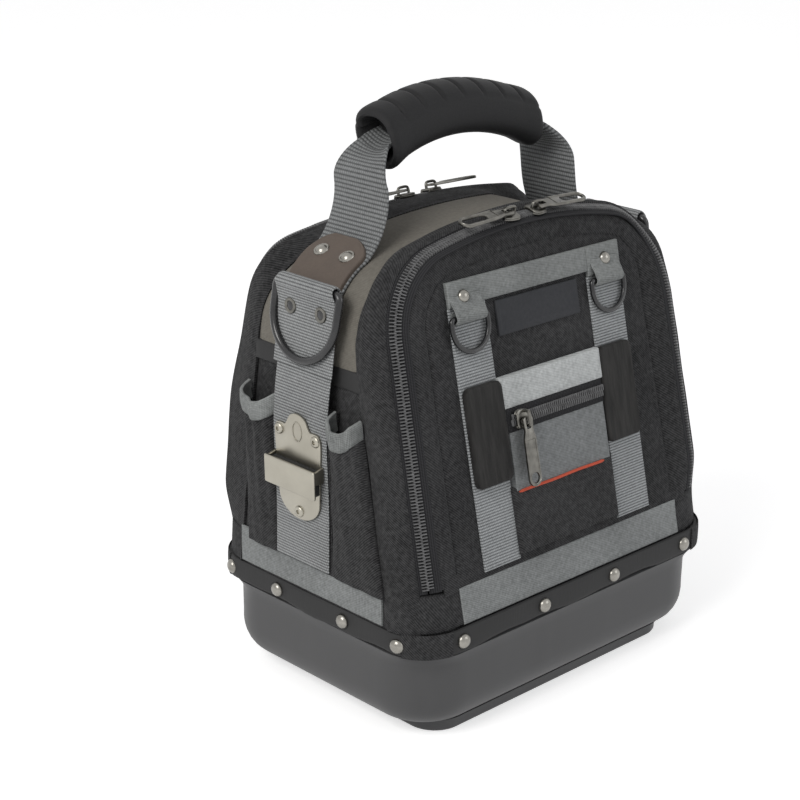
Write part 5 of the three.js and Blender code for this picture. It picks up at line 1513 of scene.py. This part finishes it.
def side_pocket(end, near_y, far_y, pleat):
    """The pocket's cloth from its foot to its mouth, and the binding's middle line along it."""
    share = grid_lines(0, 1, 0.035, 0.05)[None]
    up = np.linspace(0, 1, 46)[:, None]
    z = pocket_foot_z + (mouth_z(share) - 5.5 - pocket_foot_z) * up
    y = near_y(z) * (1 - share) + far_y(z) * share
    out = pocket_out(share, z, pleat)
    wrinkle = creases(int(pleat * 10), 28)(y, z) * 0.8 * np.clip(out / 6 - 0.3, 0, 1)
    cloth = skin(end.at(y, z, out + wrinkle), end.at(y, z, np.maximum(out + wrinkle - 1.2, 0.3)),
                 np.stack([y, z + 0 * y], -1))
    share = np.linspace(0, 1, 40)
    z = mouth_z(share) - binding_half
    y = near_y(z) * (1 - share) + far_y(z) * share
    out = pocket_out(share, z, pleat) + 0.3 + 0.6 * np.sin(np.pi * share)
    return cloth, end.at(y, z, out)


for label, end in ends.items():
    cells = []
    bindings = []
    front_cell = (lambda z: front.y_at(z, 20.5), lambda z: strap_y - strap_clear + 0 * z, 1.3)
    rear_cell = (lambda z: strap_y + strap_clear + 0 * z, lambda z: rear_pocket_y + 0 * z, 2.9)
    for near_y, far_y, pleat in (front_cell, rear_cell):
        cloth, path = side_pocket(end, near_y, far_y, pleat)
        cells.append(cloth)
        way = np.array([end.side * 0.12, 0, 0.99])
        bindings.append(ribbon(path, way, binding_half, 2.0, bow=0.5 * end.side))
    strap_span = np.linspace(strap_y - strap_clear, strap_y + strap_clear, 6)
    y, z = np.meshgrid(strap_span, np.linspace(87, 180, 12))
    cells.append(skin(end.at(y, z, strap_out_at(z) - 1.0), end.at(y, z, 0.4), np.stack([y, z], -1)))
    part = join_parts(cells)
    add_piece(f"{label}_pocket_cloth", part, black_cordura, "bag",
              [f"{label}_side_pocket"])
    add_piece(f"{label}_pocket_bindings", join_parts(bindings), band_cloth, "bag")

# End straps: a strip of webbing down each end. A second layer is folded over the bar of a large
# D-ring at the top and riveted through two eyelets.
end_strap_half = 21.5
end_strap_low = 88.5
end_strap_head = 206.0
upper_low = 199.5
big_bar = (122.46, 244.0)
loop_radius = 3.55
loop_count = 110
eyelet_y = 12.0
eyelet_z = 231.5
end_webbing = webbing_cloth("end_webbing", tone(38, 39, 39), tone(176, 178, 179), 1.6, 1.3)
eyelet_profile = [(4.5, -0.3), (4.5, 0.35), (4.1, 0.95), (3.4, 1.15), (2.7, 0.95), (2.35, 0.4)]
core_profile = [(2.5, 0.2), (2.4, 0.55), (1.2, 0.75), (0.3, 0.8)]
for label, end in ends.items():
    side = end.side
    z = np.linspace(end_strap_low, end_strap_head, 60)
    path = end.at(strap_y, z, strap_out_at(z) + 0.25 * np.sin(z / 13))
    lower = ribbon(path, (0, side, 0), end_strap_half, 1.4)
    z = np.array([upper_low, 207, 215, 223, 230, 234])
    flat = end.at(strap_y, z, np.maximum(strap_out_at(z) + 1.4, [4.6, 4.6, 4.6, 4.65, 4.8, 5.3]))
    turn = np.radians(np.linspace(-42, 205, 15))
    around = np.stack([side * (big_bar[0] + loop_radius * np.cos(turn)), strap_y + 0 * turn,
                       big_bar[1] + loop_radius * np.sin(turn)], -1)
    behind = np.array([(side * 119.9, strap_y, 239.5), (side * 121.2, strap_y, 234.0)])
    path = smooth_path(np.concatenate([flat, around, behind]), loop_count)
    widths = np.interp(np.arange(loop_count), [0, 40, 52, 62], [23.2, 23.0, 21.8, 21.6])
    upper = ribbon(path, (0, side, 0), widths, 1.4)
    part = join_parts([lower, upper])
    add_piece(f"{label}_end_webbing", part, end_webbing, "bag", [f"{label}_side_strap"])
    at = np.array([end.at(strap_y + offset, eyelet_z, 5.7) for offset in (-eyelet_y, eyelet_y)])
    facing = frames_from([(side, 0, 0.04)] * 2, (0, 0, 1))
    part = placed(turned_shape(eyelet_profile), at, facing)
    add_piece(f"{label}_eyelets", part, gunmetal, "bag")
    part = placed(turned_shape(core_profile), at, facing)
    add_piece(f"{label}_eyelet_cores", part, ring_metal, "bag")
    base = np.array([(0, 1, 0), (-0.9848, 0, -side * 0.1736), (-side * 0.1736, 0, 0.9848)])
    origin = (side * big_bar[0], strap_y, big_bar[1])
    part = placed_once(d_ring(54, 44, 4.5), origin, base)
    add_piece(f"{label}_large_ring", part, ring_metal, f"{label}_d_ring",
              [f"{label}_d_ring"])

# Tape clip: pressed satin nickel on the left strap. Its back plate has a bell-shaped top with two
# screws, its front plate stands off it on two ears, and a dark block of painted shade fills the slot
# between them.
clip_at = (-128.9, 2.0, 145.2)
clip_slope = -0.03
clip_half = 20.3
clip_front = (-12.2, 4.1)
clip_reach = 8.8


def slab_part(x_span, y_span, z_span, edge):
    """A block with rounded edges: rings of a rounded rectangle that shrink by the edge's arc."""
    turn = np.radians([0, 22, 45, 67, 90])
    inset = edge * (1 - np.sin(turn))
    rise = edge * (1 - np.cos(turn))
    z = np.concatenate([z_span[0] + rise, (z_span[1] - rise)[::-1]])
    inset = np.concatenate([inset, inset[::-1]])
    middle = ((x_span[0] + x_span[1]) / 2, (y_span[0] + y_span[1]) / 2)
    half = ((x_span[1] - x_span[0]) / 2, (y_span[1] - y_span[0]) / 2)
    rings = []
    for shrink, height in zip(inset, z):
        loop, _ = rounded_loop(half[0] - shrink, shrink - half[1], half[1] - shrink, edge, 5, 1)
        rings.append(np.column_stack([loop + middle, np.full(len(loop), height)]))
    return closed_loft(np.array(rings))


bell = smooth_path([(18.6, 13.5), (18.4, 18.6), (16.5, 21.8), (12.8, 22.4), (10.2, 22.2), (8.6, 24.0),
                    (6.4, 27.6), (3.4, 29.6), (0, 30.2)], 40)
bell = np.concatenate([bell, bell[::-1][1:] * (-1, 1)])
tab = arc(0, 0, 1, 180, 360, 25) * (16.5, 13.0) + (0, -17.8)
outline = np.concatenate([bell, tab])
back_plate = cut_plate(outline, [], 1.5, 0.4)
back_plate = (back_plate[0] + (0, 0, 1.05), back_plate[1], None)
front_plate = slab_part((-clip_half, clip_half), clip_front, (clip_reach - 1.9, clip_reach), 0.85)
ears = []
for side in (-1, 1):
    ear = smooth_path([(0, 0.1, 1.2), (0, -0.1, 3.2), (0, -0.3, 5.4), (0, -0.4, 7.4)], 14)
    ear = ear + (side * (clip_half - 1.2), 0.2, 0)
    ears.append(ribbon(ear, (0, 1, 0), np.linspace(4.6, 3.6, 14), 1.7))
oval = np.column_stack([arc(0, 0, 1, 0, 360, 37)[:-1] * (3.6, 5.3) + (0, 20.2), np.full(36, 1.85)])
emblem_ring = tube(oval, 0.45, (0, 0, 1), closed=True, sides=8)
heads = turned_shape([(3.3, 0), (3.25, 0.5), (2.7, 1.15), (1.9, 1.4), (1.3, 1.4), (1.1, 0.6)], 20)
screw_at = np.array([(-14.7, 18.3, 1.7), (14.7, 18.3, 1.7), (0, -26.2, 1.7)])
heads = placed(heads, screw_at, np.broadcast_to(np.eye(3), (3, 3, 3)))
clip_parts = join_parts([back_plate, front_plate, *ears, emblem_ring, heads])
clip_base = np.array([(0, -1, 0), (math.sin(clip_slope), 0, math.cos(clip_slope)),
                      (-math.cos(clip_slope), 0, math.sin(clip_slope))])
part = placed_once(clip_parts, clip_at, clip_base)
satin_nickel = Finish("satin_nickel", {"Metallic": 1.0})
brushed = satin_nickel.noise(300, 4, (1, 0.25, 1))
cloud = satin_nickel.noise(40, 3)
satin_nickel.set({"Base Color": satin_nickel.mix(cloud, tone(140, 136, 126), tone(182, 178, 166)),
                  "Roughness": 0.28 + brushed * 0.18, "Normal": satin_nickel.bump(brushed, 0.04, 0.3)})
add_piece("clip_body", part, satin_nickel, "bag", ["tape_clip"])
# Painted shade: a dark block stands in the slot between the plates, where only shade shows. Its knobs
# are painted lighter on top and darker between them.
slot_shade_block = slab_part((-17.6, 17.6), (-11.6, 3.0), (2.0, 6.8), 0.6)
part = placed_once(slot_shade_block, clip_at, clip_base)
slot_shade_finish = Finish("slot_shade_finish", {"Roughness": 0.8})
knobs = slot_shade_finish.node("TexVoronoi", {"feature": "SMOOTH_F1"}, {"Scale": 900.0})
slot_shade_finish.set({"Base Color": slot_shade_finish.mix(knobs, tone(52, 52, 52), tone(24, 24, 24)),
                "Normal": slot_shade_finish.bump(1 - knobs, 0.5, 1.0)})
add_piece("clip_slot_shade", part, slot_shade_finish, "bag")

# Handle webbing: one wide strip each side, from under a leather patch on the shoulder up into the
# grip. It leans back, draws in and curls round as it enters the grip.
handle_y = 7.0
handle_lean = 0.24
lean_from = 256.0
web_half = 21.2
leg_radius = 41.8
leg_top = (74.0, 290.0)
handle_roll = 0.02
grip_arc = 148.0
grip_top = 320.3
grip_half_length = 60.0
grip_half_width = 16.0
grip_half_height = 15.0
grip_reach = math.asin(grip_half_length / grip_arc)


def lean_y(z):
    """The handle's middle plane: it leans back above the shoulders by a share of the height."""
    return handle_y + handle_lean * np.maximum(0, z - lean_from)


def rolled(points):
    """The handle sits a little askew: above the shoulders it drops by a share of x."""
    drop = handle_roll * points[..., 0] * ease((points[..., 2] - lean_from) / 38)
    return points - drop[..., None] * np.array([0, 0, 1])


def bezier(a, b, c, d, count):
    """A cubic curve: (1-t)^3 a + 3 (1-t)^2 t b + 3 (1-t) t^2 c + t^3 d."""
    t = np.linspace(0, 1, count)[:, None]
    a, b, c, d = (np.array(p, float) for p in (a, b, c, d))
    return (1 - t) ** 3 * a + 3 * (1 - t) ** 2 * t * b + 3 * (1 - t) * t * t * c + t ** 3 * d


shoulder_at = np.array([shell_arch.centre[0], fold_z + shell_arch.centre[1]])
on_shoulder = arc(*shoulder_at, leg_radius, 20, 62, 24)
leave = on_shoulder[-1]
rising = bezier(leave, leave + (-12, 5.6), (leg_top[0] - 1, leg_top[1] - 15), leg_top, 26)
grip_end = grip_arc * np.array([math.sin(grip_reach), math.cos(grip_reach) - 1]) + (0, grip_top)
entering = bezier(leg_top, (leg_top[0] - 0.8, leg_top[1] + 7.3), grip_end + (6, -4),
                  grip_end + (0.8, -0.4), 14)
inside = grip_end + np.outer(np.linspace(0, 1, 8)[1:], (-16.0, 7.3))
leg_line = np.concatenate([on_shoulder, rising[1:], entering[1:], inside])
leg_run = np.cumsum(np.r_[0, np.linalg.norm(np.diff(leg_line, axis=0), axis=1)])
even = np.arange(0, leg_run[-1], 0.6)
leg_line = np.stack([np.interp(even, leg_run, leg_line[:, k]) for k in (0, 1)], -1)
leg_step = np.gradient(leg_line, axis=0)
leg_out = np.stack([leg_step[:, 1], -leg_step[:, 0]], -1) / np.linalg.norm(leg_step, axis=1)[:, None]


def on_leg(side, run, across=0.0, out=0.0):
    """A point of a handle strip: so far along it, across it and off its outer face."""
    x, z, nx, nz = [np.interp(run, even, line) for line in (*leg_line.T, *leg_out.T)]
    return np.stack(np.broadcast_arrays(side * (x + nx * out), lean_y(z) + across, z + nz * out), -1)


entry = np.interp(-grip_end[0], -leg_line[:, 0], even)
narrowing = np.clip((even - entry + 26) / 26, 0, 1)
leg_half = web_half - 9.5 * narrowing ** 1.3
leg_bow = 6.5 * narrowing ** 1.5
leg_ribs = 0.12 * np.sin(even * 2 * np.pi / 2.4)
handle_web = webbing_cloth("handle_web", tone(34, 35, 35), tone(150, 152, 153), 2.4, 1.5)
for label, side in (("left", -1), ("right", 1)):
    path = slumped(rolled(on_leg(side, even)))
    part = ribbon(path, (0, side, 0), leg_half, 2.6 + leg_ribs, bow=leg_bow)
    nodes = [f"{label}_handle_leg"] + (["handle_webbing"] if side < 0 else [])
    strip = add_piece(f"{label}_handle_webbing", part, handle_web, None, nodes)
    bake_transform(strip)

# Leather patches: a stamped brown patch with an arched top over the foot of each handle strip,
# stitched round its edge and held by two domed rivets.
leather_start = 3.0
leather_stop = 45.0
leather_half = 20.5
leather_arch = 16.4
patch_rivet_at = 31.0
leather = Finish("leather", {"Specular IOR Level": 0.4})
hide = leather.noise(90, 5)
pores = leather.noise(700, 3)
leather.set({"Base Color": leather.mix(hide * 0.7 + pores * 0.3, tone(66, 56, 50), tone(104, 93, 84)),
             "Roughness": 0.5 + hide * 0.25,
             "Normal": leather.bump(hide * 0.5 + pores * 0.5, 0.35, 0.7)})
ringed = [(4.6, -0.2), (4.6, 0.4), (4.2, 0.95), (3.5, 1.05), (3.2, 0.85), (3.0, 1.05), (2.4, 1.75),
          (1.3, 2.15), (0.3, 2.25)]
down_leather = grid_lines(leather_start, leather_stop, 1.2, 1.0)
run, share = np.meshgrid(down_leather, grid_lines(-1, 1, 0.07, 0.06))
half = leather_half * np.sqrt(1 - 0.86 * np.clip(1 - (leather_stop - run) / leather_arch, 0, 1) ** 2.4)
edge = np.minimum(np.minimum(run - leather_start, leather_stop - run), (1 - np.abs(share)) * half)
rise = 1.9 + 1.5 * rounded_edge(edge, 0.9) - 0.35 * np.exp(-((edge - 2.0) / 0.5) ** 2)
for label, side in (("left", -1), ("right", 1)):
    part = skin(slumped(on_leg(side, run, share * half, rise)),
                slumped(on_leg(side, run, share * half, 0.4)),
                np.stack([run, share * half], -1))
    add_piece(f"{label}_leather_patch", part, leather, "bag", [f"{label}_handle_patch"])
    spots = slumped(on_leg(side, patch_rivet_at, np.array([-10.0, 10.0]), 3.1))
    out = on_leg(side, patch_rivet_at, 0, 1) - on_leg(side, patch_rivet_at)
    part = placed(turned_shape(ringed), spots, frames_from([out, out], (0, 1, 0)))
    add_piece(f"{label}_patch_rivets", part, nickel, "bag")

# Grip: a curved rubbery handle, ribbed across its upper half and smooth below, with a seam along
# each side. Its ends are open and the webbing runs into them.
groove_pitch = 15.5
groove_depth = 1.5
groove_width = 1.15
groove_count = 7
groove_from = 0.55
ribbed_half = 57.0
upright_ends = 0.0055
grip_rubber = Finish("grip_rubber", {"Specular IOR Level": 0.14})
pores = grip_rubber.noise(900, 3)
smears = grip_rubber.noise(30, 4)
worn = smears * 0.6 + pores * 0.4
grip_rubber.set({"Base Color": grip_rubber.mix(worn, tone(26, 26, 27), tone(50, 50, 51)),
                 "Roughness": 0.45 + smears * 0.25, "Normal": grip_rubber.bump(pores, 0.15, 0.6)})
mouth_run = grip_half_length + np.array([-14.0, -1.5, 0.2, 0.8, 0.2, -1.2])
mouth_scale = np.array([0.62, 0.7, 0.77, 0.84, 0.93, 0.985])
even_run = np.linspace(-ribbed_half, ribbed_half, 150)
run = np.concatenate([-mouth_run, even_run, mouth_run[::-1]])[:, None]
scale = np.concatenate([mouth_scale, np.ones(len(even_run)), mouth_scale[::-1]])[:, None]
turn = np.linspace(0, 2 * np.pi, 57)[None, :-1]
from_groove = (run / groove_pitch - np.round(run / groove_pitch)) * groove_pitch
grooved = np.abs(run) < groove_count * groove_pitch / 2
groove = groove_depth * np.exp(-(from_groove / groove_width) ** 2) * grooved
depth = groove * np.clip((np.sin(turn) - groove_from) * 6 + 0.5, 0, 1)
depth = depth + 1.0 * np.exp(-((np.sin(turn) - groove_from + 0.08) / 0.05) ** 2)
depth = depth + 0.35 * (np.sin(turn) < groove_from - 0.1)
scale = scale * (1 + 0.05 * ease((np.abs(run) - 44) / 14))
y = (grip_half_width * scale - depth) * squared(np.cos(turn), 0.9)
reach = grip_arc + (grip_half_height * scale - depth) * squared(np.sin(turn), 0.88)
run = run * (1 - upright_ends * (reach - grip_arc))
z = grip_top - grip_arc + np.cos(run / grip_arc) * reach
grip = rolled(np.stack([np.sin(run / grip_arc) * reach, lean_y(z) + y, z], -1))
add_piece("grip_body", closed_loft(grip), grip_rubber, "handle", ["handle_grip"])

low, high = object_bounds()
